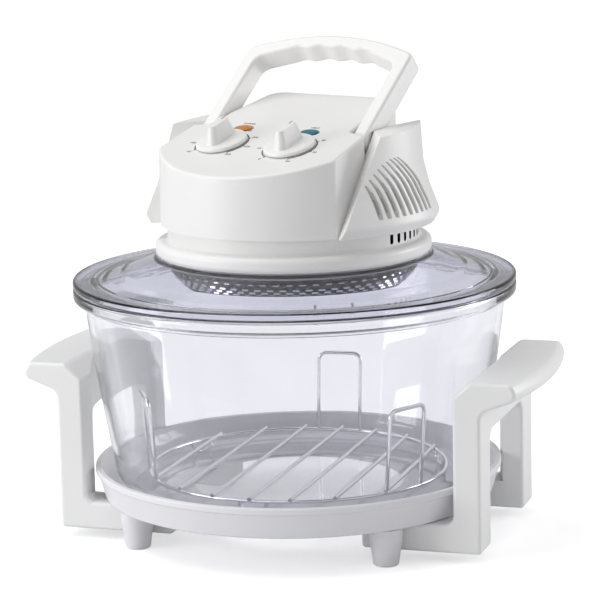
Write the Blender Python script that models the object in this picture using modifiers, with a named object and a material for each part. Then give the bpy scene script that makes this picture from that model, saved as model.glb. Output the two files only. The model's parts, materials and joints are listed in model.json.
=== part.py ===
"""Halogen oven: a glass bowl in a legged stand, and a glass lid that carries the heating head.

Units are metres, +Z is up, and the origin is under the bowl's axis on the surface it stands on.
The front of the stand faces -Y. The head sits turned on the lid, as it can be set down at any angle.
"""
import math

import bmesh
import bpy
from mathutils import Matrix, Vector

# Clearances, shared by every piece
SEAT_GAP = 0.0003
CUT_OVERRUN = 0.004
WELD_DISTANCE = 0.00001
BIG_SEGMENTS = 32
SMALL_SEGMENTS = 18
PIN_SEGMENTS = 12

# Glass bowl
GLASS_WALL = 0.0045
BOWL_NECK_RADIUS = 0.1545
BOWL_RIM_OVERHANG = 0.0085
BOWL_TAPER = 0.0175
BOWL_CORNER_WIDTH = 0.0250
BOWL_HEIGHT = 0.1535
BOWL_RIM_HEIGHT = 0.0070
BOWL_BEAD_HEIGHT = 0.0110
BOWL_LOW_RISE = 0.0240
RIM_EDGE = 0.0018

# Stand ring
RING_BOWL_ROOM = 0.0140
RING_HEIGHT = 0.0234
RING_LIP_HEIGHT = 0.0040
RING_LIP_STEP = 0.0016
RING_DRAFT = 0.0062
RING_EDGE = 0.0020
RING_WALL = 0.0030
RING_FLOOR = 0.0030
RING_OPENING_RADIUS = 0.0780
RING_RIB_WIDTH = 0.0024
RING_RIB_RISE = 0.0024

# Feet
FOOT_HEIGHT = 0.0273
FOOT_TOP_RADIUS = 0.0120
FOOT_BOTTOM_RADIUS = 0.0090
FOOT_EDGE = 0.0014
FOOT_HOLE_RADIUS = 0.0040
FOOT_HOLE_DEPTH = 0.0060
FOOT_RING_MARGIN = 0.0014
FOOT_PLACE_DEG = 44.32

# Side handles
HANDLE_FOOT_CLEARANCE = 0.0008
HANDLE_BOWL_CLEARANCE = 0.0014
HANDLE_POST_WIDTH = 0.0300
HANDLE_POST_WALL = 0.0076
HANDLE_POST_DEPTH = 0.0205
HANDLE_ARM_BOTTOM = 0.0070
HANDLE_ARM_INSET = 0.0060
HANDLE_ARM_FILLET = 0.0040
HANDLE_GRIP_TOP = 0.1310
HANDLE_GRIP_UNDERSIDE = 0.1095
HANDLE_GRIP_SEAT = 0.0075
HANDLE_CHAMFER_DROP = 0.0110
HANDLE_GRIP_REACH = 0.0250
HANDLE_GRIP_BOW = 0.0090
HANDLE_TIP_RISE = 0.0090
HANDLE_TIP_ROUND = 0.0035
HANDLE_END_ROUND = 0.0050
HANDLE_OPENING_TOP = 0.0900
HANDLE_OPENING_ROUND = 0.0080

# Wire rack
RACK_WIRE_RADIUS = 0.0015
RACK_BOWL_ROOM = 0.0015
RACK_RING_RISE = 0.0100
RACK_LOOP_HEIGHT = 0.0610
RACK_LOOP_WIDTH = 0.0340
RACK_LOOP_LEAN = 0.0055
RACK_LOOP_ROUND = 0.0060
RACK_FOOT_WIDTH = 0.0200
RACK_BAR_COUNT = 7
RACK_BAR_SPREAD_SHARE = 0.787
RACK_BAR_LIFT_SHARE = 1.3
RACK_LOOP_FIRST_DEG = -59.0
RACK_LOOP_COUNT = 3

# Glass lid
LID_RIM_HEIGHT = 0.0058
LID_RIM_WIDTH = 0.0125
LID_WALL = 0.0042
LID_SPIGOT_DROP = 0.0030
LID_SPIGOT_WIDTH = 0.0045
LID_SPIGOT_CLEARANCE = 0.0014
LID_RISE = 0.0155
LID_COLLAR_MARGIN = 0.0005
LID_COLLAR_LAP = 0.0085

# Seals between the glass lid and the head
SEAL_THICKNESS = 0.0016
SEAL_WIDTH = 0.0060

# Head: how far it is turned on the lid, seen from above
HEAD_TURN_DEG = -17.0

# Head lower cover
COVER_WALL = 0.0025
COVER_FLANGE_RADIUS = 0.1015
COVER_FLANGE_OVERHANG = 0.0090
COVER_FLANGE_HEIGHT = 0.0108
COVER_FLANGE_ROUND = 0.0036
COVER_SKIRT_DROP = 0.0013
COVER_HEIGHT = 0.0210
COVER_HUB_RADIUS = 0.0140
VENT_COUNT = 7
VENT_RISE = 0.0113
VENT_WIDTH = 0.0030
VENT_HEIGHT = 0.0086
VENT_FIRST_DEG = 84.5
VENT_STEP_DEG = 5.4

# Head housing: the front wall, the sloping panel and the vent cheeks
HOUSING_WALL = 0.0025
HOUSING_FRONT_OVERHANG = 0.0045
HOUSING_LIP_WIDTH = 0.0022
PANEL_CENTRE_Y = -0.0443
PANEL_CENTRE_RISE = 0.0601
PANEL_SLOPE_DEG = 17.0
PANEL_BACK_SLOPE_DEG = 11.0
PANEL_BACK_Y = 0.0600
PANEL_CORNER_X = 0.0780
PANEL_CORNER_ROUND = 0.0040
PANEL_SIDE_X = 0.0760
PANEL_SIDE_Y = -0.0170
PANEL_WAIST_X = 0.0605
PANEL_WAIST_Y = -0.0126
PANEL_BACK_X = 0.0570
PANEL_BACK_ROUND = 0.0120
PANEL_EDGE_ROUND = 0.0036
CHEEK_OVERHANG = 0.0115
CHEEK_SWELL = 0.0038
CHEEK_WIDEST_RISE = 0.0065
CHEEK_FLARE_INSET = 0.0073
CHEEK_FLARE_RISE = 0.0260
CHEEK_SHOULDER_INSET = 0.0042
CHEEK_SHOULDER_RISE = 0.0430
CHEEK_TOP_INSET = 0.0019
CHEEK_TOP_RISE = 0.0710
CHEEK_EDGE_RISE = 0.0698
CHEEK_FRONT_X = 0.0790
CHEEK_FRONT_Y = -0.0570
CHEEK_FRONT_LEAN = 0.0480
CHEEK_FRONT_RISE = 0.0670
CHEEK_TOP_LEAN_SHARE = 0.05
CHEEK_TOP_FALL_SHARE = 0.03
CHEEK_OVERLAP = 0.0050
LOUVRE_COUNT = 9
LOUVRE_RADIUS = 0.0016
LOUVRE_BOTTOM_FIRST_DEG = 72.4
LOUVRE_BOTTOM_STEP_DEG = 4.9
LOUVRE_TOP_FIRST_DEG = 68.3
LOUVRE_TOP_STEP_DEG = 3.95
LOUVRE_BOTTOM_RISE = 0.0125
LOUVRE_LOW_TOP_RISE = 0.0350
LOUVRE_HIGH_TOP_RISE = 0.0520

# Carry handle
GRIP_HALF_WIDTH = 0.0730
GRIP_ARM_WIDTH = 0.0115
GRIP_DEPTH = 0.0170
GRIP_SHOULDER_REACH = 0.0785
GRIP_TOP_REACH = 0.0935
GRIP_BAR_THICKNESS = 0.0125
GRIP_CORNER_ROUND = 0.0040
GRIP_END_RADIUS = 0.0085
GRIP_EDGE = 0.0025
GRIP_SHARP_DEG = 55.0
GRIP_SCALLOP_DEPTH = 0.0022
GRIP_SCALLOP_COUNT = 4
GRIP_SCALLOP_PITCH = 0.0200
GRIP_LEAN_DEG = 50.0
GRIP_PIVOT_Y = -0.0030
GRIP_PIVOT_RISE = 0.0635
GRIP_SLOT_SIDE = 0.0010
GRIP_SLOT_FLOOR_GAP = 0.0010
PIVOT_PIN_RADIUS = 0.0030
PIVOT_HEAD_RADIUS = 0.0055
PIVOT_HEAD_THICKNESS = 0.0020
PIVOT_PIN_TAIL = 0.0070

# Reflector, lamp and guard under the head
SHEET = 0.0010
REFLECTOR_DISH_ROOM = 0.0065
REFLECTOR_FLANGE_LAP = 0.0070
REFLECTOR_DISH_DRAFT = 0.0010
SHAFT_HOLE_RADIUS = 0.0080
LAMP_DISH_ROOM = 0.0215
LAMP_TUBE_RADIUS = 0.0040
LAMP_DROP = 0.0165
LAMP_BEND = 0.0060
LAMP_HALF_GAP_DEG = 22.0
LAMP_SOCKET_DEPTH = 0.0045
HOLDER_RADIUS = 0.0080
HOLDER_HEIGHT = 0.0080
GUARD_FLANGE_MARGIN = 0.0010
GUARD_FLANGE_GAP = 0.0021
GUARD_RIM_HEIGHT = 0.0035
GUARD_DEPTH = 0.0150
GUARD_SHOULDER_INSET = 0.0045
GUARD_FLAT_INSET = 0.0085
GUARD_HOLE_LENGTH = 0.0080
GUARD_HOLE_WIDTH = 0.0036
GUARD_FIRST_ROW_SHARE = 0.26
GUARD_ROW_SHARE = 0.188
GUARD_ROWS = 4
GUARD_HOLE_PITCH = 0.0270
POST_RADIUS = 0.0034
POST_DISH_ROOM = 0.0060
POST_ANGLES_DEG = (-55.0, 125.0, 215.0)

# Motor and fans
SHAFT_RADIUS = 0.0030
MOTOR_STACK_X = 0.0520
MOTOR_STACK_Y = 0.0420
MOTOR_STACK_THICKNESS = 0.0140
MOTOR_STACK_RISE = 0.0070
MOTOR_BRIDGE_WIDTH = 0.0140
MOTOR_BRIDGE_THICKNESS = 0.0025
MOTOR_COLUMN = 0.0060
MOTOR_HEIGHT = 0.0272
ROTOR_RADIUS = 0.0090
BUSH_RADIUS = 0.0050
BUSH_HEIGHT = 0.0044
COOLING_FAN_RADIUS = 0.0360
COOLING_FAN_HEIGHT = 0.0080
HOT_FAN_RADIUS = 0.0340
HOT_FAN_HEIGHT = 0.0070
FAN_DISC = 0.0012
FAN_BLADE = 0.0016
FAN_HUB_RADIUS = 0.0065
FAN_HUB_HEIGHT = 0.0060
FAN_BLADE_COUNT = 7
FAN_CLEARANCE = 0.0040

# Controls on the panel
DIAL_PLACE_X = 0.0300
KNOB_SKIRT_RADIUS = 0.0190
KNOB_SKIRT_THICKNESS = 0.0030
KNOB_LIFT = 0.0008
KNOB_GRIP_RADIUS = 0.0150
KNOB_GRIP_HEIGHT = 0.0160
KNOB_GRIP_WIDTH = 0.0110
KNOB_GRIP_TAPER_SHARE = 0.62
KNOB_STEM_RADIUS = 0.0040
KNOB_STEM_ROOM = 0.0005
KNOB_STEM_ENTRY = 0.0060
CONTROL_BODY_X = 0.0380
CONTROL_BODY_Y = 0.0340
CONTROL_BODY_DEPTH = 0.0220
CONTROL_BODY_EDGE = 0.0020
LENS_PLACE_X = 0.0292
LENS_DIAL_DISTANCE = 0.0257
LENS_KNEE_DISTANCE = 0.0246
LENS_HALF_LENGTH = 0.0075
LENS_HALF_WIDTH = 0.0048
LENS_RISE = 0.0012
LENS_FLANGE = 0.0012
LENS_DEPTH = 0.0100

# Safety switch under the left arm of the carry handle
SWITCH_PLACE_Y = 0.0300
SWITCH_LENGTH = 0.0200
SWITCH_WIDTH = 0.0070
SWITCH_HEIGHT = 0.0120
PLUNGER_RADIUS = 0.0016
PLUNGER_RISE = 0.0025
PLUNGER_ROOM = 0.0006
PLUNGER_ENTRY = 0.0060

# Cord gland in the back wall of the housing
GLAND_RISE = 0.0320
GLAND_RADIUS = 0.0062
GLAND_FLANGE_RADIUS = 0.0090
GLAND_FLANGE_THICKNESS = 0.0020
GLAND_BORE_RADIUS = 0.0038
GLAND_INSIDE_LENGTH = 0.0120

# Radii that follow from the bowl's neck: bowl, rack, stand ring, feet and side handles
BOWL_RIM_RADIUS = BOWL_NECK_RADIUS + BOWL_RIM_OVERHANG
BOWL_LOW_RADIUS = BOWL_NECK_RADIUS - BOWL_TAPER
BOWL_FLOOR_RADIUS = BOWL_LOW_RADIUS - BOWL_CORNER_WIDTH
RACK_RING_RADIUS = BOWL_FLOOR_RADIUS - RACK_BOWL_ROOM
RING_LIP_RADIUS = BOWL_LOW_RADIUS + RING_BOWL_ROOM
RING_FOOT_RADIUS = RING_LIP_RADIUS - RING_DRAFT
FOOT_PLACE_RADIUS = RING_FOOT_RADIUS - FOOT_TOP_RADIUS - FOOT_RING_MARGIN
FOOT_PLACE_X = FOOT_PLACE_RADIUS * math.cos(math.radians(FOOT_PLACE_DEG))
FOOT_PLACE_Y = FOOT_PLACE_RADIUS * math.sin(math.radians(FOOT_PLACE_DEG))
HANDLE_HALF_LENGTH = FOOT_PLACE_Y - FOOT_TOP_RADIUS - HANDLE_FOOT_CLEARANCE
HANDLE_POST_OUTER = RING_LIP_RADIUS + HANDLE_BOWL_CLEARANCE + HANDLE_POST_WALL
HANDLE_POST_INNER = HANDLE_POST_OUTER - HANDLE_POST_DEPTH
HANDLE_GRIP_INNER = HANDLE_POST_OUTER - HANDLE_GRIP_SEAT
HANDLE_ARM_REACH = RING_OPENING_RADIUS - HANDLE_ARM_INSET

# Radii that follow from the cover's flange: lid, housing, reflector, lamp and guard
COVER_NECK_RADIUS = COVER_FLANGE_RADIUS - COVER_FLANGE_OVERHANG
LID_COLLAR_RADIUS = COVER_FLANGE_RADIUS - LID_COLLAR_MARGIN
LID_HOLE_RADIUS = COVER_NECK_RADIUS - LID_COLLAR_LAP
HOUSING_FRONT_RADIUS = COVER_NECK_RADIUS + HOUSING_FRONT_OVERHANG
HOUSING_LIP_RADIUS = COVER_NECK_RADIUS - HOUSING_LIP_WIDTH
CHEEK_BASE_RADIUS = COVER_NECK_RADIUS + CHEEK_OVERHANG
CHEEK_WIDEST_RADIUS = CHEEK_BASE_RADIUS + CHEEK_SWELL
CHEEK_FLARE_RADIUS = CHEEK_WIDEST_RADIUS - CHEEK_FLARE_INSET
CHEEK_SHOULDER_RADIUS = CHEEK_FLARE_RADIUS - CHEEK_SHOULDER_INSET
CHEEK_TOP_RADIUS = CHEEK_SHOULDER_RADIUS - CHEEK_TOP_INSET
REFLECTOR_FLANGE_RADIUS = LID_HOLE_RADIUS + REFLECTOR_FLANGE_LAP
REFLECTOR_DISH_RADIUS = LID_HOLE_RADIUS - REFLECTOR_DISH_ROOM
LAMP_RING_RADIUS = REFLECTOR_DISH_RADIUS - LAMP_DISH_ROOM
POST_PLACE_RADIUS = REFLECTOR_DISH_RADIUS - POST_DISH_ROOM
GUARD_RIM_RADIUS = REFLECTOR_FLANGE_RADIUS - GUARD_FLANGE_MARGIN
GUARD_SHOULDER_RADIUS = GUARD_RIM_RADIUS - GUARD_SHOULDER_INSET
GUARD_FLAT_RADIUS = GUARD_SHOULDER_RADIUS - GUARD_FLAT_INSET

# Heights that follow, from the feet up to the panel
RING_BOTTOM = FOOT_HEIGHT + SEAT_GAP
RING_FLOOR_TOP = RING_BOTTOM + RING_FLOOR
RING_LIP_TOP = RING_BOTTOM + RING_HEIGHT
BOWL_BOTTOM = RING_FLOOR_TOP + SEAT_GAP
BOWL_FLOOR_TOP = BOWL_BOTTOM + GLASS_WALL
BOWL_RIM_TOP = BOWL_BOTTOM + BOWL_HEIGHT
LID_RIM_BOTTOM = BOWL_RIM_TOP + SEAT_GAP
LID_RIM_TOP = LID_RIM_BOTTOM + LID_RIM_HEIGHT
LID_COLLAR_TOP = LID_RIM_TOP + LID_RISE
LID_COLLAR_BOTTOM = LID_COLLAR_TOP - LID_WALL
COVER_BOTTOM = LID_COLLAR_TOP + SEAT_GAP + SEAL_THICKNESS + SEAT_GAP
COVER_FLOOR_TOP = COVER_BOTTOM + COVER_WALL
COVER_NECK_TOP = COVER_BOTTOM + COVER_HEIGHT
HOUSING_BASE = COVER_NECK_TOP + SEAT_GAP
REFLECTOR_TOP = COVER_BOTTOM - SEAT_GAP
REFLECTOR_FLANGE_TOP = LID_COLLAR_BOTTOM - SEAT_GAP - SEAL_THICKNESS - SEAT_GAP
REFLECTOR_UNDERSIDE = REFLECTOR_TOP - SHEET
GUARD_RIM_TOP = REFLECTOR_FLANGE_TOP - SHEET - GUARD_FLANGE_GAP
GUARD_BOTTOM = GUARD_RIM_TOP - GUARD_DEPTH
MOTOR_BASE = COVER_FLOOR_TOP + SEAT_GAP
MOTOR_TOP = MOTOR_BASE + MOTOR_HEIGHT
GRIP_PIVOT_HEIGHT = HOUSING_BASE + GRIP_PIVOT_RISE
GROOVE_FLOOR = GRIP_PIVOT_HEIGHT - GRIP_DEPTH / 2 - GRIP_SLOT_FLOOR_GAP
CHEEK_EDGE_HEIGHT = HOUSING_BASE + CHEEK_EDGE_RISE

# Slopes of the panel and where its two faces meet, and the turn and lean of the head and handle
PANEL_SLOPE = math.radians(PANEL_SLOPE_DEG)
PANEL_BACK_SLOPE = math.radians(PANEL_BACK_SLOPE_DEG)
LENS_PLACE_Y = PANEL_CENTRE_Y + LENS_DIAL_DISTANCE
PANEL_KNEE_Y = LENS_PLACE_Y + LENS_KNEE_DISTANCE
PANEL_CENTRE_HEIGHT = HOUSING_BASE + PANEL_CENTRE_RISE
PANEL_KNEE_HEIGHT = PANEL_CENTRE_HEIGHT + (PANEL_KNEE_Y - PANEL_CENTRE_Y) * math.tan(PANEL_SLOPE)
PANEL_BACK_HEIGHT = PANEL_KNEE_HEIGHT + (PANEL_BACK_Y - PANEL_KNEE_Y) * math.tan(PANEL_BACK_SLOPE)
HEAD_TURN = math.radians(HEAD_TURN_DEG)
GRIP_LEAN = math.radians(GRIP_LEAN_DEG)

# Scene, collections and the empties that place the head and its moving pieces
for old in list(bpy.data.objects):
    bpy.data.objects.remove(old, do_unlink=True)
oven_collection = bpy.data.collections.new("halogen_oven")
cutter_collection = bpy.data.collections.new("cutters")
bpy.context.scene.collection.children.link(oven_collection)
bpy.context.scene.collection.children.link(cutter_collection)


def make_material(name, colour, roughness, metallic=0.0, transmission=0.0):
    material = bpy.data.materials.new(name)
    material.use_nodes = True
    shader = material.node_tree.nodes["Principled BSDF"]
    shader.inputs["Base Color"].default_value = (*colour, 1.0)
    shader.inputs["Roughness"].default_value = roughness
    shader.inputs["Metallic"].default_value = metallic
    shader.inputs["Transmission Weight"].default_value = transmission
    return material


WHITE = (0.86, 0.86, 0.87)
GREY = (0.30, 0.30, 0.31)
GLASS = (0.86, 0.88, 0.92)
STEEL = (0.72, 0.72, 0.72)
materials = {
    "white_plastic": make_material("white_plastic", WHITE, 0.30),
    "clear_glass": make_material("clear_glass", GLASS, 0.04, 0.0, 0.9),
    "chromed_wire": make_material("chromed_wire", (0.80, 0.80, 0.80), 0.12, 1.0),
    "sheet_metal": make_material("sheet_metal", STEEL, 0.30, 1.0),
    "seal_rubber": make_material("seal_rubber", (0.55, 0.55, 0.55), 0.70),
    "lamp_quartz": make_material("lamp_quartz", (0.90, 0.86, 0.78), 0.08, 0.0, 0.8),
    "ceramic": make_material("ceramic", (0.85, 0.82, 0.76), 0.55),
    "motor_steel": make_material("motor_steel", GREY, 0.45, 0.8),
    "bush_bronze": make_material("bush_bronze", (0.62, 0.44, 0.22), 0.35, 1.0),
    "control_plastic": make_material("control_plastic", (0.12, 0.12, 0.13), 0.50),
    "amber_lens": make_material("amber_lens", (0.86, 0.38, 0.02), 0.15),
    "teal_lens": make_material("teal_lens", (0.01, 0.33, 0.42), 0.15),
    "cutter": make_material("cutter", (1.0, 0.0, 0.0), 1.0),
}


def make_empty(name, location=(0, 0, 0), rotation=(0, 0, 0), parent=None):
    empty = bpy.data.objects.new(name, None)
    empty.location = location
    empty.rotation_euler = rotation
    empty.parent = parent
    oven_collection.objects.link(empty)
    return empty


head_turn = make_empty("head_turn", rotation=(0, 0, HEAD_TURN))


def add_object(name, mesh, material, parent=None, cutter=False, smooth_deg=32.0):
    """Put a mesh in the scene as one named piece, or as a wire-drawn cutter."""
    obj = bpy.data.objects.new(name, mesh)
    obj.data.materials.append(materials[material])
    obj.parent = parent
    if cutter:
        cutter_collection.objects.link(obj)
        obj.hide_render = True
        obj.display_type = "WIRE"
    else:
        oven_collection.objects.link(obj)
        mesh.shade_smooth()
        mesh.set_sharp_from_angle(angle=math.radians(smooth_deg))
    return obj


def add_bmesh(name, bm, material, parent=None, cutter=False):
    mesh = bpy.data.meshes.new(name)
    bm.to_mesh(mesh)
    bm.free()
    return add_object(name, mesh, material, parent, cutter)


def turned(name, profile, material, parent=None, cutter=False, segments=BIG_SEGMENTS, closed=True):
    """Turn a profile of (radius, height) pairs about Z; it runs down its outer side first."""
    mesh = bpy.data.meshes.new(name)
    count = len(profile)
    edges = [(i, i + 1) for i in range(count - 1)]
    if closed:
        edges.append((count - 1, 0))
    mesh.from_pydata([(radius, 0, height) for radius, height in profile], edges, [])
    obj = add_object(name, mesh, material, parent, cutter)
    screw = obj.modifiers.new("turn", "SCREW")
    screw.axis = "Z"
    screw.angle = math.tau
    screw.steps = segments
    screw.render_steps = segments
    screw.use_merge_vertices = True
    screw.merge_threshold = WELD_DISTANCE
    return obj


def cut(obj, cutter, operation="DIFFERENCE"):
    boolean = obj.modifiers.new(operation.lower() + "_" + cutter.name, "BOOLEAN")
    boolean.operation = operation
    boolean.solver = "EXACT"
    boolean.object = cutter
    return boolean


def box_bmesh(low, high):
    bm = bmesh.new()
    bmesh.ops.create_cube(bm, size=1.0)
    low = Vector(low)
    high = Vector(high)
    bmesh.ops.scale(bm, vec=high - low, verts=bm.verts)
    bmesh.ops.translate(bm, vec=(low + high) / 2, verts=bm.verts)
    return bm


def bevel_edges(bm, edges, width, segments=3):
    bmesh.ops.bevel(
        bm, geom=edges, offset=width, offset_type="OFFSET", segments=segments,
        profile=0.5, affect="EDGES", clamp_overlap=True,
    )


def prism_bmesh(points, low, high, axis="Z"):
    """Extrude a closed outline of 2D points from low to high along an axis."""
    place = {
        "X": lambda a, b, c: (c, a, b),
        "Y": lambda a, b, c: (a, c, b),
        "Z": lambda a, b, c: (a, b, c),
    }[axis]
    bm = bmesh.new()
    face = bm.faces.new([bm.verts.new(place(a, b, low)) for a, b in points])
    extruded = bmesh.ops.extrude_face_region(bm, geom=[face])
    moved = [item for item in extruded["geom"] if isinstance(item, bmesh.types.BMVert)]
    bmesh.ops.translate(bm, vec=place(0, 0, high - low), verts=moved)
    bmesh.ops.recalc_face_normals(bm, faces=bm.faces)
    return bm


def cylinder_bmesh(radius, low, high, segments=PIN_SEGMENTS):
    bm = bmesh.new()
    bmesh.ops.create_cone(
        bm, cap_ends=True, segments=segments, radius1=radius, radius2=radius, depth=high - low,
    )
    bmesh.ops.translate(bm, vec=(0, 0, (low + high) / 2), verts=bm.verts)
    return bm


def arc_points(centre, radius, start_deg, end_deg, steps):
    """Points on an arc in a plane, both ends included, angles from the first axis."""
    angles = [math.radians(start_deg + (end_deg - start_deg) * i / steps) for i in range(steps + 1)]
    return [(centre[0] + radius * math.cos(a), centre[1] + radius * math.sin(a)) for a in angles]


def evaluated_mesh(obj):
    """The mesh of an object with its modifiers, in its parent's frame."""
    bpy.context.view_layer.update()
    depsgraph = bpy.context.evaluated_depsgraph_get()
    return bpy.data.meshes.new_from_object(obj.evaluated_get(depsgraph), depsgraph=depsgraph)


def taken_bmesh(obj):
    """Turn an object into a welded bmesh with its own transform applied, and remove the object."""
    bm = bmesh.new()
    bm.from_mesh(evaluated_mesh(obj))
    bmesh.ops.transform(bm, matrix=obj.matrix_basis, verts=bm.verts)
    bmesh.ops.remove_doubles(bm, verts=bm.verts, dist=WELD_DISTANCE)
    bmesh.ops.recalc_face_normals(bm, faces=bm.faces)
    bpy.data.objects.remove(obj, do_unlink=True)
    return bm


def joined(name, first, others, material, parent=None, operation="UNION", cutter=False):
    """Join or cut solids into one, and remove the solids that it was made from."""
    for other in others:
        cut(first, other, operation)
    bm = taken_bmesh(first)
    for other in others:
        bpy.data.objects.remove(other, do_unlink=True)
    return add_bmesh(name, bm, material, parent, cutter)


def slice_off(bm, point, normal):
    """Cut off what lies beyond a plane, and close the cut."""
    geometry = list(bm.verts) + list(bm.edges) + list(bm.faces)
    result = bmesh.ops.bisect_plane(
        bm, geom=geometry, dist=WELD_DISTANCE, plane_co=point, plane_no=normal, clear_outer=True,
    )
    rim = [item for item in result["geom_cut"] if isinstance(item, bmesh.types.BMEdge)]
    bmesh.ops.holes_fill(bm, edges=rim, sides=0)
    bmesh.ops.recalc_face_normals(bm, faces=bm.faces)


def wire(name, points, radius, material, cyclic=False, resolution=1):
    """A round wire along a list of points, as a welded solid."""
    curve = bpy.data.curves.new(name, "CURVE")
    curve.dimensions = "3D"
    curve.bevel_depth = radius
    curve.bevel_resolution = resolution
    curve.use_fill_caps = not cyclic
    spline = curve.splines.new("POLY")
    spline.points.add(len(points) - 1)
    for point, place in zip(spline.points, points):
        point.co = (*place, 1.0)
    spline.use_cyclic_u = cyclic
    holder = bpy.data.objects.new(name + "_wire", curve)
    cutter_collection.objects.link(holder)
    bm = taken_bmesh(holder)
    return add_bmesh(name, bm, material, cutter=True)


def polar(radius, azimuth_deg, height):
    """A place by radius and azimuth; azimuth 0 is the front, 90 the right."""
    azimuth = math.radians(azimuth_deg)
    return Vector((radius * math.sin(azimuth), -radius * math.cos(azimuth), height))


def merged_cutter(name, bmeshes, parent=None):
    """Several separate solids in one cutter."""
    mesh = bpy.data.meshes.new(name)
    total = bmesh.new()
    for bm in bmeshes:
        bm.to_mesh(mesh)
        bm.free()
        total.from_mesh(mesh)
    total.to_mesh(mesh)
    total.free()
    return add_object(name, mesh, "cutter", parent, cutter=True)


# Glass bowl: its outer wall, from the neck under the rim down to the round lower corner
BOWL_WALL_SHARES = ((0.0, 0.0), (0.20, 0.14), (0.60, 0.56), (1.0, 1.0))
BOWL_CORNER_STEPS = 3


def bowl_wall(inset):
    """Points down the wall and round the lower corner, moved in by inset."""
    neck = Vector((BOWL_NECK_RADIUS - inset, BOWL_RIM_TOP - BOWL_BEAD_HEIGHT))
    low = Vector((BOWL_LOW_RADIUS - inset, BOWL_BOTTOM + BOWL_LOW_RISE))
    points = []
    for fall_share, taper_share in BOWL_WALL_SHARES:
        radius = neck.x + (low.x - neck.x) * taper_share
        points.append((radius, neck.y + (low.y - neck.y) * fall_share))
    for step in range(1, BOWL_CORNER_STEPS + 1):
        angle = math.pi / 2 * step / BOWL_CORNER_STEPS
        radius = BOWL_FLOOR_RADIUS + (low.x - BOWL_FLOOR_RADIUS) * math.cos(angle)
        points.append((radius, low.y - (BOWL_LOW_RISE - inset) * math.sin(angle)))
    return points


bowl_profile = [(0, BOWL_FLOOR_TOP)]
bowl_profile += list(reversed(bowl_wall(GLASS_WALL)))
bowl_profile += [
    (BOWL_NECK_RADIUS - GLASS_WALL, BOWL_RIM_TOP - RIM_EDGE),
    (BOWL_NECK_RADIUS - GLASS_WALL + RIM_EDGE, BOWL_RIM_TOP),
    (BOWL_RIM_RADIUS - RIM_EDGE, BOWL_RIM_TOP),
    (BOWL_RIM_RADIUS, BOWL_RIM_TOP - RIM_EDGE),
    (BOWL_RIM_RADIUS, BOWL_RIM_TOP - BOWL_RIM_HEIGHT),
    (BOWL_RIM_RADIUS - RIM_EDGE, BOWL_RIM_TOP - BOWL_RIM_HEIGHT - RIM_EDGE),
]
bowl_profile += bowl_wall(0)
bowl_profile += [(0, BOWL_BOTTOM)]
turned("glass_bowl", bowl_profile, "clear_glass", closed=False)

# Stand ring: a shallow tray with an open middle, and a rib that centres the bowl
rib_angle = math.asin(1 - RING_RIB_RISE / BOWL_LOW_RISE)
rib_inner = BOWL_FLOOR_RADIUS + (BOWL_LOW_RADIUS - BOWL_FLOOR_RADIUS) * math.cos(rib_angle) + SEAT_GAP
rib_outer = rib_inner + RING_RIB_WIDTH
rib_top = RING_FLOOR_TOP + RING_RIB_RISE
lip_wall_radius = RING_LIP_RADIUS - RING_LIP_STEP
turned("stand_ring", [
    (RING_LIP_RADIUS - RING_EDGE / 2, RING_LIP_TOP),
    (RING_LIP_RADIUS, RING_LIP_TOP - RING_EDGE / 2),
    (RING_LIP_RADIUS, RING_LIP_TOP - RING_LIP_HEIGHT),
    (lip_wall_radius, RING_LIP_TOP - RING_LIP_HEIGHT - RING_LIP_STEP),
    (RING_FOOT_RADIUS, RING_BOTTOM + RING_EDGE),
    (RING_FOOT_RADIUS - RING_EDGE, RING_BOTTOM),
    (RING_OPENING_RADIUS, RING_BOTTOM),
    (RING_OPENING_RADIUS, RING_FLOOR_TOP),
    (rib_inner, RING_FLOOR_TOP),
    (rib_inner + RING_RIB_WIDTH / 4, rib_top),
    (rib_outer, rib_top),
    (rib_outer, RING_FLOOR_TOP),
    (RING_FOOT_RADIUS - RING_WALL - RING_EDGE, RING_FLOOR_TOP),
    (RING_FOOT_RADIUS - RING_WALL, RING_FLOOR_TOP + RING_EDGE),
    (lip_wall_radius - RING_WALL, RING_LIP_TOP - RING_EDGE / 2),
    (lip_wall_radius - RING_WALL + RING_EDGE / 2, RING_LIP_TOP),
], "white_plastic")

# Feet: four tapered feet screwed up into the ring, each with a screw recess
foot_profile = [
    (0, FOOT_HEIGHT),
    (FOOT_TOP_RADIUS, FOOT_HEIGHT),
    (FOOT_BOTTOM_RADIUS, FOOT_EDGE),
    (FOOT_BOTTOM_RADIUS - FOOT_EDGE, 0),
    (FOOT_HOLE_RADIUS, 0),
    (FOOT_HOLE_RADIUS, FOOT_HOLE_DEPTH),
    (0, FOOT_HOLE_DEPTH),
]
for end_name, end_sign in (("front", -1), ("rear", 1)):
    for side_name, side_sign in (("left", -1), ("right", 1)):
        foot = turned(
            "foot_" + end_name + "_" + side_name, foot_profile, "white_plastic",
            segments=SMALL_SEGMENTS, closed=False,
        )
        foot.location = (side_sign * FOOT_PLACE_X, end_sign * FOOT_PLACE_Y, 0)

# Side handles: a bowed grip on two posts, whose arms run in under the ring
HANDLE_STATION_SHARES = (-1.0, -0.8, -0.55, -0.28, 0.0, 0.28, 0.55, 0.8, 1.0)
handle_arm_top = RING_BOTTOM - SEAT_GAP
handle_chamfer_base = HANDLE_GRIP_TOP - HANDLE_CHAMFER_DROP


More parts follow.
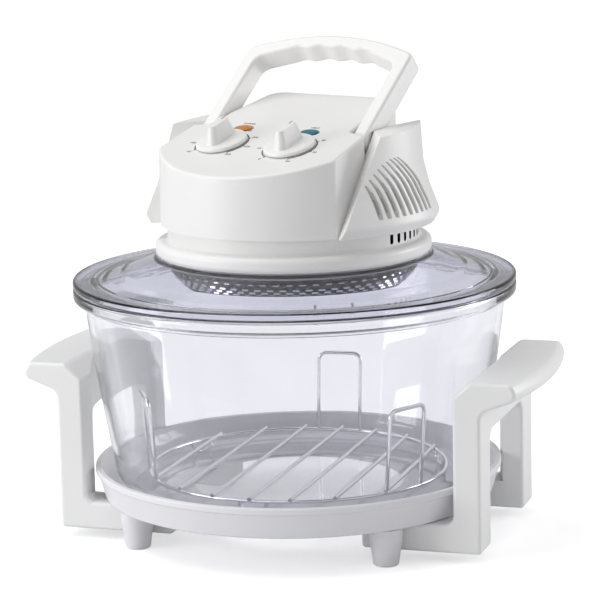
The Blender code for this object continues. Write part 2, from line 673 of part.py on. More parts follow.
def handle_section(y):
    """The handle's outline seen from its end, as (x, z) points, bowed out towards its middle."""
    bow = HANDLE_GRIP_BOW * (1 - (y / HANDLE_HALF_LENGTH) ** 2)
    tip = HANDLE_POST_OUTER + HANDLE_GRIP_REACH + bow
    tip_base = HANDLE_GRIP_UNDERSIDE + HANDLE_TIP_RISE
    return [
        (HANDLE_ARM_REACH, HANDLE_ARM_BOTTOM),
        (HANDLE_POST_OUTER, HANDLE_ARM_BOTTOM),
        (HANDLE_POST_OUTER, HANDLE_GRIP_UNDERSIDE),
        (tip - HANDLE_TIP_ROUND / 2, tip_base),
        (tip, tip_base + HANDLE_TIP_ROUND),
        (tip - HANDLE_TIP_ROUND / 4, HANDLE_GRIP_TOP - HANDLE_TIP_ROUND),
        (tip - HANDLE_TIP_ROUND, HANDLE_GRIP_TOP),
        (HANDLE_GRIP_INNER, HANDLE_GRIP_TOP),
        (HANDLE_POST_INNER, handle_chamfer_base),
        (HANDLE_POST_INNER, handle_arm_top + HANDLE_ARM_FILLET),
        (HANDLE_POST_INNER - HANDLE_ARM_FILLET, handle_arm_top),
        (HANDLE_ARM_REACH, handle_arm_top),
    ]


def handle_bmesh():
    """Carry the section along the handle, round its outer end edges, and return the solid."""
    bm = bmesh.new()
    stations = [share * HANDLE_HALF_LENGTH for share in HANDLE_STATION_SHARES]
    rings = [[bm.verts.new((x, y, z)) for x, z in handle_section(y)] for y in stations]
    ends = [bm.faces.new(rings[0]), bm.faces.new(list(reversed(rings[-1])))]
    for ring, following in zip(rings, rings[1:]):
        for i in range(len(ring)):
            j = (i + 1) % len(ring)
            bm.faces.new((ring[j], ring[i], following[i], following[j]))
    bmesh.ops.recalc_face_normals(bm, faces=bm.faces)
    outside = HANDLE_POST_OUTER - HANDLE_END_ROUND
    end_edges = {edge for face in ends for edge in face.edges}
    chosen = [
        edge for edge in end_edges
        if min(vert.co.x for vert in edge.verts) > HANDLE_GRIP_INNER - HANDLE_END_ROUND
        and max(vert.co.x for vert in edge.verts) > outside
    ]
    bevel_edges(bm, chosen, HANDLE_END_ROUND)
    return bm


opening_half = HANDLE_HALF_LENGTH - HANDLE_POST_WIDTH
opening_low = HANDLE_ARM_BOTTOM - CUT_OVERRUN
handle_opening = box_bmesh(
    (HANDLE_ARM_REACH - CUT_OVERRUN, -opening_half, opening_low),
    (HANDLE_POST_OUTER + HANDLE_GRIP_REACH, opening_half, HANDLE_OPENING_TOP),
)
opening_edges = [
    edge for edge in handle_opening.edges
    if min(vert.co.z for vert in edge.verts) > opening_low + CUT_OVERRUN
    and abs(edge.verts[0].co.y - edge.verts[1].co.y) < WELD_DISTANCE
]
bevel_edges(handle_opening, opening_edges, HANDLE_OPENING_ROUND)
handle_opening = add_bmesh("handle_opening", handle_opening, "cutter", cutter=True)
bowl_radius_at_grip = BOWL_LOW_RADIUS + (BOWL_NECK_RADIUS - BOWL_LOW_RADIUS) * BOWL_WALL_SHARES[2][1]
bowl_space = max(bowl_radius_at_grip, RING_LIP_RADIUS) + HANDLE_BOWL_CLEARANCE
bowl_space_cutter = turned("bowl_space", [
    (0, HANDLE_GRIP_TOP + CUT_OVERRUN),
    (bowl_space, HANDLE_GRIP_TOP + CUT_OVERRUN),
    (bowl_space, handle_arm_top + SEAT_GAP),
    (0, handle_arm_top + SEAT_GAP),
], "cutter", cutter=True, segments=BIG_SEGMENTS * 3, closed=False)
for side_name, side_sign in (("right", 1), ("left", -1)):
    handle = handle_bmesh()
    solid = add_bmesh("solid_side_handle", handle, "white_plastic", cutter=True)
    for cutter in (handle_opening, bowl_space_cutter):
        cut(solid, cutter)
    handle = taken_bmesh(solid)
    if side_sign < 0:
        bmesh.ops.scale(handle, vec=(side_sign, 1, 1), verts=handle.verts)
        bmesh.ops.recalc_face_normals(handle, faces=handle.faces)
    add_bmesh("side_handle_" + side_name, handle, "white_plastic")

# Wire rack: a ring with bars across it, short feet below and tall loops above
rack_ring_height = BOWL_FLOOR_TOP + RACK_RING_RISE


def rack_loop(half_width, reach, azimuth_deg, lean):
    """An inverted U of wire that stands on the ring; a negative reach hangs below it."""
    turn = Matrix.Rotation(math.radians(azimuth_deg), 4, "Z")
    sign = math.copysign(1, reach)
    corner = reach - sign * RACK_LOOP_ROUND
    outline = [(-half_width, 0), (-half_width, corner)]
    outline += [(-half_width + RACK_LOOP_ROUND / 4, reach - sign * RACK_LOOP_ROUND / 4)]
    outline += [(-half_width + RACK_LOOP_ROUND, reach), (half_width - RACK_LOOP_ROUND, reach)]
    outline += [(half_width - RACK_LOOP_ROUND / 4, reach - sign * RACK_LOOP_ROUND / 4)]
    outline += [(half_width, corner), (half_width, 0)]
    places = []
    for across, up in outline:
        out = math.sqrt(RACK_RING_RADIUS ** 2 - across ** 2) + lean * up / reach
        places.append(turn @ Vector((across, -out, rack_ring_height + up)))
    return places


rack_ring_points = [
    polar(RACK_RING_RADIUS, 360 * i / BIG_SEGMENTS, rack_ring_height) for i in range(BIG_SEGMENTS)
]
rack_ring = wire("rack_ring", rack_ring_points, RACK_WIRE_RADIUS, "chromed_wire", cyclic=True)
rack_wires = []
loop_step_deg = 360 / RACK_LOOP_COUNT
foot_reach = RACK_WIRE_RADIUS + SEAT_GAP - RACK_RING_RISE
for i in range(RACK_LOOP_COUNT):
    azimuth_deg = RACK_LOOP_FIRST_DEG + i * loop_step_deg
    tall = rack_loop(RACK_LOOP_WIDTH / 2, RACK_LOOP_HEIGHT, azimuth_deg, RACK_LOOP_LEAN)
    rack_wires.append(wire("rack_loop_" + str(i), tall, RACK_WIRE_RADIUS, "chromed_wire"))
    short = rack_loop(RACK_FOOT_WIDTH / 2, foot_reach, azimuth_deg + loop_step_deg / 2, 0)
    rack_wires.append(wire("rack_foot_" + str(i), short, RACK_WIRE_RADIUS, "chromed_wire"))
bar_height = rack_ring_height + RACK_WIRE_RADIUS * RACK_BAR_LIFT_SHARE
for i in range(RACK_BAR_COUNT):
    x = RACK_BAR_SPREAD_SHARE * RACK_RING_RADIUS * (2 * i / (RACK_BAR_COUNT - 1) - 1)
    half_chord = math.sqrt(RACK_RING_RADIUS ** 2 - x ** 2) + RACK_WIRE_RADIUS
    ends = [(x, -half_chord, bar_height), (x, half_chord, bar_height)]
    rack_wires.append(wire("rack_bar_" + str(i), ends, RACK_WIRE_RADIUS, "chromed_wire"))
joined("wire_rack", rack_ring, rack_wires, "chromed_wire")

# Glass lid: a flat rim, a low cone and a flat collar round the hole for the head
LID_CONE_SHARES = ((0.25, 0.10), (0.50, 0.34), (0.76, 0.68))
cone_foot_radius = BOWL_RIM_RADIUS - LID_RIM_WIDTH


def lid_cone(drop):
    """Points up the cone from its foot to the collar, lowered by drop."""
    points = []
    for in_share, rise_share in LID_CONE_SHARES:
        radius = cone_foot_radius + (LID_COLLAR_RADIUS - cone_foot_radius) * in_share
        points.append((radius, LID_RIM_TOP + (LID_COLLAR_TOP - LID_RIM_TOP) * rise_share - drop))
    return points


spigot_radius = BOWL_NECK_RADIUS - GLASS_WALL - LID_SPIGOT_CLEARANCE
lid_profile = [
    (BOWL_RIM_RADIUS - RIM_EDGE, LID_RIM_TOP),
    (BOWL_RIM_RADIUS, LID_RIM_TOP - RIM_EDGE),
    (BOWL_RIM_RADIUS, LID_RIM_BOTTOM + RIM_EDGE),
    (BOWL_RIM_RADIUS - RIM_EDGE, LID_RIM_BOTTOM),
    (spigot_radius, LID_RIM_BOTTOM),
    (spigot_radius, LID_RIM_BOTTOM - LID_SPIGOT_DROP),
    (spigot_radius - LID_SPIGOT_WIDTH, LID_RIM_BOTTOM - LID_SPIGOT_DROP),
    (spigot_radius - LID_SPIGOT_WIDTH, LID_RIM_TOP - LID_WALL),
]
lid_profile += lid_cone(LID_WALL)
lid_profile += [
    (LID_COLLAR_RADIUS, LID_COLLAR_BOTTOM),
    (LID_HOLE_RADIUS, LID_COLLAR_BOTTOM),
    (LID_HOLE_RADIUS, LID_COLLAR_TOP),
    (LID_COLLAR_RADIUS, LID_COLLAR_TOP),
]
lid_profile += list(reversed(lid_cone(0)))
lid_profile += [(cone_foot_radius, LID_RIM_TOP)]
turned("glass_lid", lid_profile, "clear_glass")


def seal_ring(name, outer_radius, low):
    top = low + SEAL_THICKNESS
    inner_radius = outer_radius - SEAL_WIDTH
    profile = [(outer_radius, top), (outer_radius, low), (inner_radius, low), (inner_radius, top)]
    return turned(name, profile, "seal_rubber")


seal_ring("lid_seal_upper", COVER_NECK_RADIUS + COVER_WALL, LID_COLLAR_TOP + SEAT_GAP)
seal_ring("lid_seal_lower", REFLECTOR_FLANGE_RADIUS - SHEET / 2, REFLECTOR_FLANGE_TOP + SEAT_GAP)

# Head lower cover: the floor of the head, a flange that overhangs the glass, and a vented neck
skirt_bottom = COVER_BOTTOM - COVER_SKIRT_DROP
flange_top = skirt_bottom + COVER_FLANGE_HEIGHT
seal_seat_radius = COVER_NECK_RADIUS + COVER_WALL + SEAT_GAP
flange_inner = COVER_FLANGE_RADIUS - COVER_WALL
cover_shell = turned("cover_shell", [
    (COVER_NECK_RADIUS, COVER_NECK_TOP),
    (COVER_NECK_RADIUS, flange_top),
    (COVER_FLANGE_RADIUS - COVER_FLANGE_ROUND, flange_top),
    (COVER_FLANGE_RADIUS - COVER_FLANGE_ROUND / 4, flange_top - COVER_FLANGE_ROUND / 3),
    (COVER_FLANGE_RADIUS, flange_top - COVER_FLANGE_ROUND),
    (COVER_FLANGE_RADIUS, skirt_bottom + COVER_FLANGE_ROUND),
    (COVER_FLANGE_RADIUS - COVER_FLANGE_ROUND / 4, skirt_bottom + COVER_FLANGE_ROUND / 3),
    (COVER_FLANGE_RADIUS - COVER_FLANGE_ROUND / 2, skirt_bottom),
    (flange_inner, skirt_bottom),
    (flange_inner, flange_top - COVER_WALL),
    (seal_seat_radius, flange_top - COVER_WALL),
    (seal_seat_radius, COVER_BOTTOM),
    (COVER_HUB_RADIUS, COVER_BOTTOM),
    (COVER_HUB_RADIUS, COVER_FLOOR_TOP),
    (COVER_NECK_RADIUS - COVER_WALL, COVER_FLOOR_TOP),
    (COVER_NECK_RADIUS - COVER_WALL, COVER_NECK_TOP),
], "white_plastic", cutter=True)
vent_bmeshes = []
vent_low = COVER_BOTTOM + VENT_RISE
for side_sign in (1, -1):
    for i in range(VENT_COUNT):
        azimuth = math.radians(side_sign * (VENT_FIRST_DEG + i * VENT_STEP_DEG))
        vent = box_bmesh(
            (-VENT_WIDTH / 2, -COVER_NECK_RADIUS - CUT_OVERRUN, vent_low),
            (VENT_WIDTH / 2, -COVER_NECK_RADIUS + COVER_WALL + CUT_OVERRUN, vent_low + VENT_HEIGHT),
        )
        bmesh.ops.rotate(vent, matrix=Matrix.Rotation(azimuth, 3, "Z"), verts=vent.verts)
        vent_bmeshes.append(vent)
vents = merged_cutter("vents", vent_bmeshes)
joined("head_lower_cover", cover_shell, [vents], "white_plastic", head_turn, "DIFFERENCE")

# Head housing: a block under the sloping panel, and round cheeks beside and behind it
CHEEK_STEPS = (
    (0.0, CHEEK_BASE_RADIUS),
    (CHEEK_WIDEST_RISE, CHEEK_WIDEST_RADIUS),
    (CHEEK_FLARE_RISE, CHEEK_FLARE_RADIUS),
    (CHEEK_SHOULDER_RISE, CHEEK_SHOULDER_RADIUS),
    (CHEEK_TOP_RISE, CHEEK_TOP_RADIUS),
)
FRONT_STEPS = 12
WALL_TILT_SHARE = 0.3
PANEL_TILT_SHARE = 0.8
groove_outer = GRIP_HALF_WIDTH + GRIP_SLOT_SIDE


def cheek_radius(rise):
    """The cheeks' outer radius at a height above the housing's base."""
    for (low_rise, low_radius), (high_rise, high_radius) in zip(CHEEK_STEPS, CHEEK_STEPS[1:]):
        if rise <= high_rise:
            break
    return low_radius + (high_radius - low_radius) * (rise - low_rise) / (high_rise - low_rise)


def rounded_outline(corners, inset, steps=3):
    """A plan outline from (x, y, radius) corners, moved in by inset and rounded."""
    count = len(corners)
    places = [Vector(corner[:2]) for corner in corners]
    moved = []
    for i in range(count):
        before = (places[i] - places[i - 1]).normalized()
        after = (places[(i + 1) % count] - places[i]).normalized()
        normal_before = Vector((-before.y, before.x))
        normal_after = Vector((-after.y, after.x))
        share = inset / (1 + normal_before.dot(normal_after))
        moved.append(places[i] + (normal_before + normal_after) * share)
    points = []
    for i in range(count):
        radius = max(corners[i][2] - inset, 0)
        if radius < WELD_DISTANCE:
            points.append(tuple(moved[i]))
            continue
        to_before = (moved[i - 1] - moved[i]).normalized()
        to_after = (moved[(i + 1) % count] - moved[i]).normalized()
        half = to_before.angle(to_after) / 2
        centre = moved[i] + (to_before + to_after).normalized() * radius / math.sin(half)
        start = moved[i] + to_before * radius / math.tan(half) - centre
        end = moved[i] + to_after * radius / math.tan(half) - centre
        for step in range(steps + 1):
            share = step / steps
            points.append(tuple(centre + (start * (1 - share) + end * share).normalized() * radius))
    return points


def block_corners():
    """The block's plan, counterclockwise from its left front corner, as (x, y, radius)."""
    span = math.asin(PANEL_CORNER_X / HOUSING_FRONT_RADIUS)
    front = []
    for i in range(FRONT_STEPS + 1):
        azimuth = span * (2 * i / FRONT_STEPS - 1)
        radius = PANEL_CORNER_ROUND if i in (0, FRONT_STEPS) else 0
        place = (HOUSING_FRONT_RADIUS * math.sin(azimuth), -HOUSING_FRONT_RADIUS * math.cos(azimuth))
        front.append((*place, radius))
    right = [
        (PANEL_SIDE_X, PANEL_SIDE_Y, 0),
        (PANEL_WAIST_X, PANEL_WAIST_Y, 0),
        (PANEL_BACK_X, PANEL_BACK_Y, PANEL_BACK_ROUND),
    ]
    left = [(-x, y, radius) for x, y, radius in reversed(right)]
    return front + right + left


def block_bmesh(inset):
    """The block, moved in by inset; the outside one has its top edges rounded."""
    outline = rounded_outline(block_corners(), inset)
    bm = prism_bmesh(outline, HOUSING_BASE + inset, PANEL_BACK_HEIGHT + CUT_OVERRUN)
    for slope, y, height in (
        (PANEL_SLOPE, PANEL_CENTRE_Y, PANEL_CENTRE_HEIGHT),
        (PANEL_BACK_SLOPE, PANEL_KNEE_Y, PANEL_KNEE_HEIGHT),
    ):
        normal = Vector((0, -math.sin(slope), math.cos(slope)))
        slice_off(bm, Vector((0, y, height)) - normal * inset, normal)
    if inset == 0:
        top_edges = []
        for edge in bm.edges:
            tilts = sorted(abs(face.normal.z) for face in edge.link_faces)
            meets_wall = tilts[0] < WALL_TILT_SHARE and tilts[1] > PANEL_TILT_SHARE
            if meets_wall and edge.verts[0].co.z > HOUSING_BASE + CUT_OVERRUN:
                top_edges.append(edge)
        bevel_edges(bm, top_edges, PANEL_EDGE_ROUND, 2)
    return bm


def cheek_bmesh(inset, side_sign):
    """One cheek and its half of the back wall, moved in by inset."""
    profile = [(0, HOUSING_BASE + CHEEK_TOP_RISE - inset)]
    for rise, radius in reversed(CHEEK_STEPS):
        height = min(max(rise, inset), CHEEK_TOP_RISE - inset)
        profile.append((radius - inset, HOUSING_BASE + height))
    profile.append((0, HOUSING_BASE + inset))
    bm = taken_bmesh(turned("cheek", profile, "cutter", cutter=True, closed=False))
    slice_off(bm, Vector((-CHEEK_OVERLAP, 0, 0)), Vector((-1, 0, 0)))
    front = Vector((CHEEK_FRONT_RISE, CHEEK_FRONT_RISE, -CHEEK_FRONT_LEAN)).normalized()
    front_place = Vector((CHEEK_FRONT_X, CHEEK_FRONT_Y, HOUSING_BASE))
    slice_off(bm, front_place + front * inset, -front)
    top = Vector((CHEEK_TOP_FALL_SHARE, -CHEEK_TOP_LEAN_SHARE, 1)).normalized()
    slice_off(bm, Vector((groove_outer, 0, CHEEK_EDGE_HEIGHT)) - top * inset, top)
    solid = add_bmesh("cheek_solid", bm, "cutter", cutter=True)
    deck_space = add_bmesh("deck_space", box_bmesh(
        (-CHEEK_BASE_RADIUS, -CHEEK_BASE_RADIUS, GROOVE_FLOOR - inset),
        (groove_outer + inset, CHEEK_BASE_RADIUS, CHEEK_EDGE_HEIGHT + CHEEK_TOP_RISE),
    ), "cutter", cutter=True)
    cut(solid, deck_space)
    bm = taken_bmesh(solid)
    bpy.data.objects.remove(deck_space, do_unlink=True)
    bmesh.ops.scale(bm, vec=(side_sign, 1, 1), verts=bm.verts)
    bmesh.ops.recalc_face_normals(bm, faces=bm.faces)
    return bm


def housing_solid(name, inset):
    """Block and cheeks as one solid, moved in by inset."""
    right, left = [
        add_bmesh(name + "_cheek", cheek_bmesh(inset, side_sign), "cutter", cutter=True)
        for side_sign in (1, -1)
    ]
    cheeks = joined(name + "_cheeks", right, [left], "cutter", cutter=True)
    block = add_bmesh(name + "_block", block_bmesh(inset), "cutter", cutter=True)
    return joined(name, block, [cheeks], "cutter", cutter=True)


def on_panel(bm, x, y):
    """Turn a bmesh from the panel's own frame to a place on the sloping panel, and return it."""
    height = PANEL_CENTRE_HEIGHT + (y - PANEL_CENTRE_Y) * math.tan(PANEL_SLOPE)
    bmesh.ops.rotate(bm, matrix=Matrix.Rotation(PANEL_SLOPE, 3, "X"), verts=bm.verts)
    bmesh.ops.translate(bm, vec=(x, y, height), verts=bm.verts)
    return bm


def oval_points(half_length, half_width, count=PIN_SEGMENTS):
    """An oval outline; its long direction is X."""
    angles = [math.tau * i / count for i in range(count)]
    return [(half_length * math.cos(a), half_width * math.sin(a)) for a in angles]


wall_fall = cheek_radius(GLAND_RISE) - cheek_radius(GLAND_RISE + GLAND_RADIUS)
wall_tilt = math.atan2(wall_fall, GLAND_RADIUS)
gland_place = Vector((0, cheek_radius(GLAND_RISE), HOUSING_BASE + GLAND_RISE))
gland_turn = Matrix.Rotation(wall_tilt - math.pi / 2, 3, "X")
pivot_place = Vector((0, GRIP_PIVOT_Y, GRIP_PIVOT_HEIGHT))
switch_x = -(PANEL_WAIST_X + groove_outer) / 2
waist_share = (GRIP_PIVOT_Y - PANEL_WAIST_Y) / (PANEL_BACK_Y - PANEL_WAIST_Y)
pivot_wall_x = PANEL_WAIST_X + (PANEL_BACK_X - PANEL_WAIST_X) * waist_share

hole_bmeshes = []
for side_sign in (1, -1):
    stem_hole = cylinder_bmesh(KNOB_STEM_RADIUS + KNOB_STEM_ROOM, -HOUSING_WALL - CUT_OVERRUN, CUT_OVERRUN)
    hole_bmeshes.append(on_panel(stem_hole, side_sign * DIAL_PLACE_X, PANEL_CENTRE_Y))
    plug_room = LENS_FLANGE - SEAT_GAP
    lens_hole = prism_bmesh(
        oval_points(LENS_HALF_LENGTH - plug_room, LENS_HALF_WIDTH - plug_room),
        -HOUSING_WALL - CUT_OVERRUN, CUT_OVERRUN,
    )
    hole_bmeshes.append(on_panel(lens_hole, side_sign * LENS_PLACE_X, LENS_PLACE_Y))
    pin_hole = cylinder_bmesh(PIVOT_PIN_RADIUS + SEAT_GAP, -CUT_OVERRUN, CUT_OVERRUN)
    bmesh.ops.rotate(pin_hole, matrix=Matrix.Rotation(math.pi / 2, 3, "Y"), verts=pin_hole.verts)
    pin_hole_x = side_sign * (pivot_wall_x - HOUSING_WALL / 2)
    bmesh.ops.translate(pin_hole, vec=pivot_place + Vector((pin_hole_x, 0, 0)), verts=pin_hole.verts)
    hole_bmeshes.append(pin_hole)
plunger_hole = cylinder_bmesh(
    PLUNGER_RADIUS + SEAT_GAP, GROOVE_FLOOR - HOUSING_WALL * 2, GROOVE_FLOOR + HOUSING_WALL,
)
bmesh.ops.translate(plunger_hole, vec=(switch_x, SWITCH_PLACE_Y, 0), verts=plunger_hole.verts)
hole_bmeshes.append(plunger_hole)
gland_hole = cylinder_bmesh(GLAND_RADIUS + SEAT_GAP, -HOUSING_WALL - CUT_OVERRUN, CUT_OVERRUN)
bmesh.ops.rotate(gland_hole, matrix=gland_turn, verts=gland_hole.verts)
bmesh.ops.translate(gland_hole, vec=gland_place, verts=gland_hole.verts)
hole_bmeshes.append(gland_hole)
hole_bmeshes.append(cylinder_bmesh(
    HOUSING_LIP_RADIUS, HOUSING_BASE - CUT_OVERRUN, HOUSING_BASE + HOUSING_WALL + SEAT_GAP, BIG_SEGMENTS,
))
housing_holes = merged_cutter("housing_holes", hole_bmeshes)

louvre_cutters = []
for side_sign in (1, -1):
    for i in range(LOUVRE_COUNT):
        arch = math.sin(math.pi * i / (LOUVRE_COUNT - 1))
        top_rise = LOUVRE_LOW_TOP_RISE + (LOUVRE_HIGH_TOP_RISE - LOUVRE_LOW_TOP_RISE) * arch
        bottom_deg = LOUVRE_BOTTOM_FIRST_DEG + i * LOUVRE_BOTTOM_STEP_DEG
        top_deg = LOUVRE_TOP_FIRST_DEG + i * LOUVRE_TOP_STEP_DEG
        rises = [LOUVRE_BOTTOM_RISE, CHEEK_FLARE_RISE]
        rises += [CHEEK_SHOULDER_RISE] if top_rise > CHEEK_SHOULDER_RISE + LOUVRE_RADIUS else []
        rises += [top_rise]
        places = []
        for rise in rises:
            share = (rise - LOUVRE_BOTTOM_RISE) / (top_rise - LOUVRE_BOTTOM_RISE)
            azimuth_deg = side_sign * (bottom_deg + (top_deg - bottom_deg) * share)
            places.append(polar(cheek_radius(rise) + SEAT_GAP, azimuth_deg, HOUSING_BASE + rise))
        louvre_cutters.append(wire("louvre", places, LOUVRE_RADIUS, "cutter", resolution=0))
housing_outside = housing_solid("housing_outside", 0)
housing_inside = housing_solid("housing_inside", HOUSING_WALL)
joined(
    "head_housing", housing_outside, [*louvre_cutters, housing_inside, housing_holes],
    "white_plastic", head_turn, "DIFFERENCE",
)

# Reflector: a pressed dish through the hole in the lid, with a flange under the glass collar
dish_wall = REFLECTOR_DISH_RADIUS + REFLECTOR_DISH_DRAFT
turned("reflector", [
    (REFLECTOR_DISH_RADIUS, REFLECTOR_TOP),
    (dish_wall, REFLECTOR_FLANGE_TOP),
    (REFLECTOR_FLANGE_RADIUS, REFLECTOR_FLANGE_TOP),
    (REFLECTOR_FLANGE_RADIUS, REFLECTOR_FLANGE_TOP - SHEET),
    (dish_wall - SHEET, REFLECTOR_FLANGE_TOP - SHEET),
    (REFLECTOR_DISH_RADIUS - SHEET, REFLECTOR_UNDERSIDE),
    (SHAFT_HOLE_RADIUS, REFLECTOR_UNDERSIDE),
    (SHAFT_HOLE_RADIUS, REFLECTOR_TOP),
], "sheet_metal", head_turn)

# Fan guard: a pressed and pierced pan that covers the lamp and the hot air fan
guard_floor_top = GUARD_BOTTOM + SHEET
guard_wall_bottom = GUARD_RIM_TOP - GUARD_RIM_HEIGHT
guard_shoulder_height = (guard_wall_bottom + GUARD_BOTTOM) / 2
guard_pan = turned("guard_pan", [
    (GUARD_RIM_RADIUS, GUARD_RIM_TOP),
    (GUARD_RIM_RADIUS, guard_wall_bottom),
    (GUARD_SHOULDER_RADIUS, guard_shoulder_height - SHEET),
    (GUARD_FLAT_RADIUS, GUARD_BOTTOM),
    (0, GUARD_BOTTOM),
    (0, guard_floor_top),
    (GUARD_FLAT_RADIUS - SHEET / 2, guard_floor_top),
    (GUARD_SHOULDER_RADIUS - SHEET, guard_shoulder_height),
    (GUARD_RIM_RADIUS - SHEET, guard_wall_bottom),
    (GUARD_RIM_RADIUS - SHEET, GUARD_RIM_TOP),
], "sheet_metal", cutter=True)
hole_bmeshes = []
for row in range(GUARD_ROWS):
    row_radius = GUARD_FLAT_RADIUS * (GUARD_FIRST_ROW_SHARE + row * GUARD_ROW_SHARE)
    count = int(math.tau * row_radius / GUARD_HOLE_PITCH)
    for i in range(count):
        azimuth = math.tau * (i + row / 2) / count
        outline = oval_points(GUARD_HOLE_LENGTH / 2, GUARD_HOLE_WIDTH / 2, 6)
        hole = prism_bmesh(outline, GUARD_BOTTOM - SHEET, guard_floor_top + SHEET)
        bmesh.ops.translate(hole, vec=(0, -row_radius, 0), verts=hole.verts)
        bmesh.ops.rotate(hole, matrix=Matrix.Rotation(azimuth, 3, "Z"), verts=hole.verts)
        hole_bmeshes.append(hole)
guard_holes = merged_cutter("guard_holes", hole_bmeshes)
joined("fan_guard", guard_pan, [guard_holes], "sheet_metal", head_turn, "DIFFERENCE")

# Guard posts: three spacers between the guard and the reflector
for i, azimuth_deg in enumerate(POST_ANGLES_DEG):
    post = cylinder_bmesh(POST_RADIUS, guard_floor_top + SEAT_GAP, REFLECTOR_UNDERSIDE - SEAT_GAP)
    bmesh.ops.translate(post, vec=polar(POST_PLACE_RADIUS, azimuth_deg, 0), verts=post.verts)
    add_bmesh("guard_post_" + str(i + 1), post, "sheet_metal", head_turn)

# Halogen lamp: a quartz ring whose ends turn up into two ceramic holders at the back
LAMP_STEPS = 28
lamp_height = REFLECTOR_UNDERSIDE - LAMP_DROP
lamp_end_height = REFLECTOR_UNDERSIDE - SEAT_GAP - HOLDER_HEIGHT + LAMP_SOCKET_DEPTH - SEAT_GAP
lamp_points = []
for i in range(LAMP_STEPS + 1):
    azimuth_deg = 180 + LAMP_HALF_GAP_DEG + (360 - 2 * LAMP_HALF_GAP_DEG) * i / LAMP_STEPS
    lamp_points.append(polar(LAMP_RING_RADIUS, azimuth_deg, lamp_height))
bend_deg = math.degrees(LAMP_BEND / LAMP_RING_RADIUS)
lamp_ends = []
for side_sign in (1, -1):
    gap_deg = 180 + side_sign * (LAMP_HALF_GAP_DEG - bend_deg / 3)
    end_deg = 180 + side_sign * (LAMP_HALF_GAP_DEG - bend_deg)
    lamp_ends.append([
        polar(LAMP_RING_RADIUS, gap_deg, lamp_height + LAMP_BEND / 3),
        polar(LAMP_RING_RADIUS, end_deg, lamp_height + LAMP_BEND),
        polar(LAMP_RING_RADIUS, end_deg, lamp_end_height),
    ])
lamp_points = list(reversed(lamp_ends[0])) + lamp_points + lamp_ends[1]
lamp = wire("lamp", lamp_points, LAMP_TUBE_RADIUS, "lamp_quartz")
add_bmesh("halogen_lamp", taken_bmesh(lamp), "lamp_quartz", head_turn)
for i, side_sign in enumerate((1, -1)):
    holder_top = REFLECTOR_UNDERSIDE - SEAT_GAP
    socket_radius = LAMP_TUBE_RADIUS + SEAT_GAP
    holder = taken_bmesh(turned("holder", [
        (0, holder_top),
        (HOLDER_RADIUS, holder_top),
        (HOLDER_RADIUS, holder_top - HOLDER_HEIGHT),
        (socket_radius, holder_top - HOLDER_HEIGHT),
        (socket_radius, holder_top - HOLDER_HEIGHT + LAMP_SOCKET_DEPTH),
        (0, holder_top - HOLDER_HEIGHT + LAMP_SOCKET_DEPTH),
    ], "ceramic", cutter=True, segments=SMALL_SEGMENTS, closed=False))
    holder_place = polar(LAMP_RING_RADIUS, 180 + side_sign * (LAMP_HALF_GAP_DEG - bend_deg), 0)
    bmesh.ops.translate(holder, vec=holder_place, verts=holder.verts)
    add_bmesh("lamp_holder_" + str(i + 1), holder, "ceramic", head_turn)

# Motor: a laminated stack on two bridges, bronze bushes, and a shaft that turns both fans
bridge_top = MOTOR_BASE + MOTOR_BRIDGE_THICKNESS
stack_bottom = MOTOR_BASE + MOTOR_STACK_RISE
stack_top = stack_bottom + MOTOR_STACK_THICKNESS
upper_bridge_bottom = MOTOR_TOP - MOTOR_BRIDGE_THICKNESS
stack = add_bmesh("stack", box_bmesh(
    (-MOTOR_STACK_X / 2, -MOTOR_STACK_Y / 2, stack_bottom),
    (MOTOR_STACK_X / 2, MOTOR_STACK_Y / 2, stack_top),
), "motor_steel", cutter=True)
bracket_half = MOTOR_STACK_X / 2 - SHEET
bracket = add_bmesh("bracket", box_bmesh(
    (-bracket_half, -MOTOR_BRIDGE_WIDTH / 2, MOTOR_BASE),
    (bracket_half, MOTOR_BRIDGE_WIDTH / 2, MOTOR_TOP),
), "motor_steel", cutter=True)
bracket_room = add_bmesh("bracket_room", box_bmesh(
    (MOTOR_COLUMN - bracket_half, -MOTOR_BRIDGE_WIDTH, bridge_top),
    (bracket_half - MOTOR_COLUMN, MOTOR_BRIDGE_WIDTH, upper_bridge_bottom),
), "cutter", cutter=True)
bracket = joined("bracket", bracket, [bracket_room], "motor_steel", operation="DIFFERENCE", cutter=True)
motor_solid = joined("motor_solid", stack, [bracket], "motor_steel", cutter=True)
bore = merged_cutter("motor_bore", [
    cylinder_bmesh(ROTOR_RADIUS + FAN_DISC / 2, stack_bottom - SHEET, stack_top + SHEET, SMALL_SEGMENTS),
    cylinder_bmesh(BUSH_RADIUS + SEAT_GAP, MOTOR_BASE - SHEET, bridge_top + SHEET),
    cylinder_bmesh(BUSH_RADIUS + SEAT_GAP, upper_bridge_bottom - SHEET, MOTOR_TOP + SHEET),
])
joined("motor_frame", motor_solid, [bore], "motor_steel", head_turn, "DIFFERENCE")
bush_rise = (BUSH_HEIGHT - MOTOR_BRIDGE_THICKNESS) / 2
for name, low in (("lower", MOTOR_BASE - bush_rise), ("upper", upper_bridge_bottom - bush_rise)):
    turned("motor_bush_" + name, [
        (BUSH_RADIUS, low + BUSH_HEIGHT),
        (BUSH_RADIUS, low),
        (SHAFT_RADIUS + SEAT_GAP, low),
        (SHAFT_RADIUS + SEAT_GAP, low + BUSH_HEIGHT),
    ], "bush_bronze", head_turn, segments=PIN_SEGMENTS)

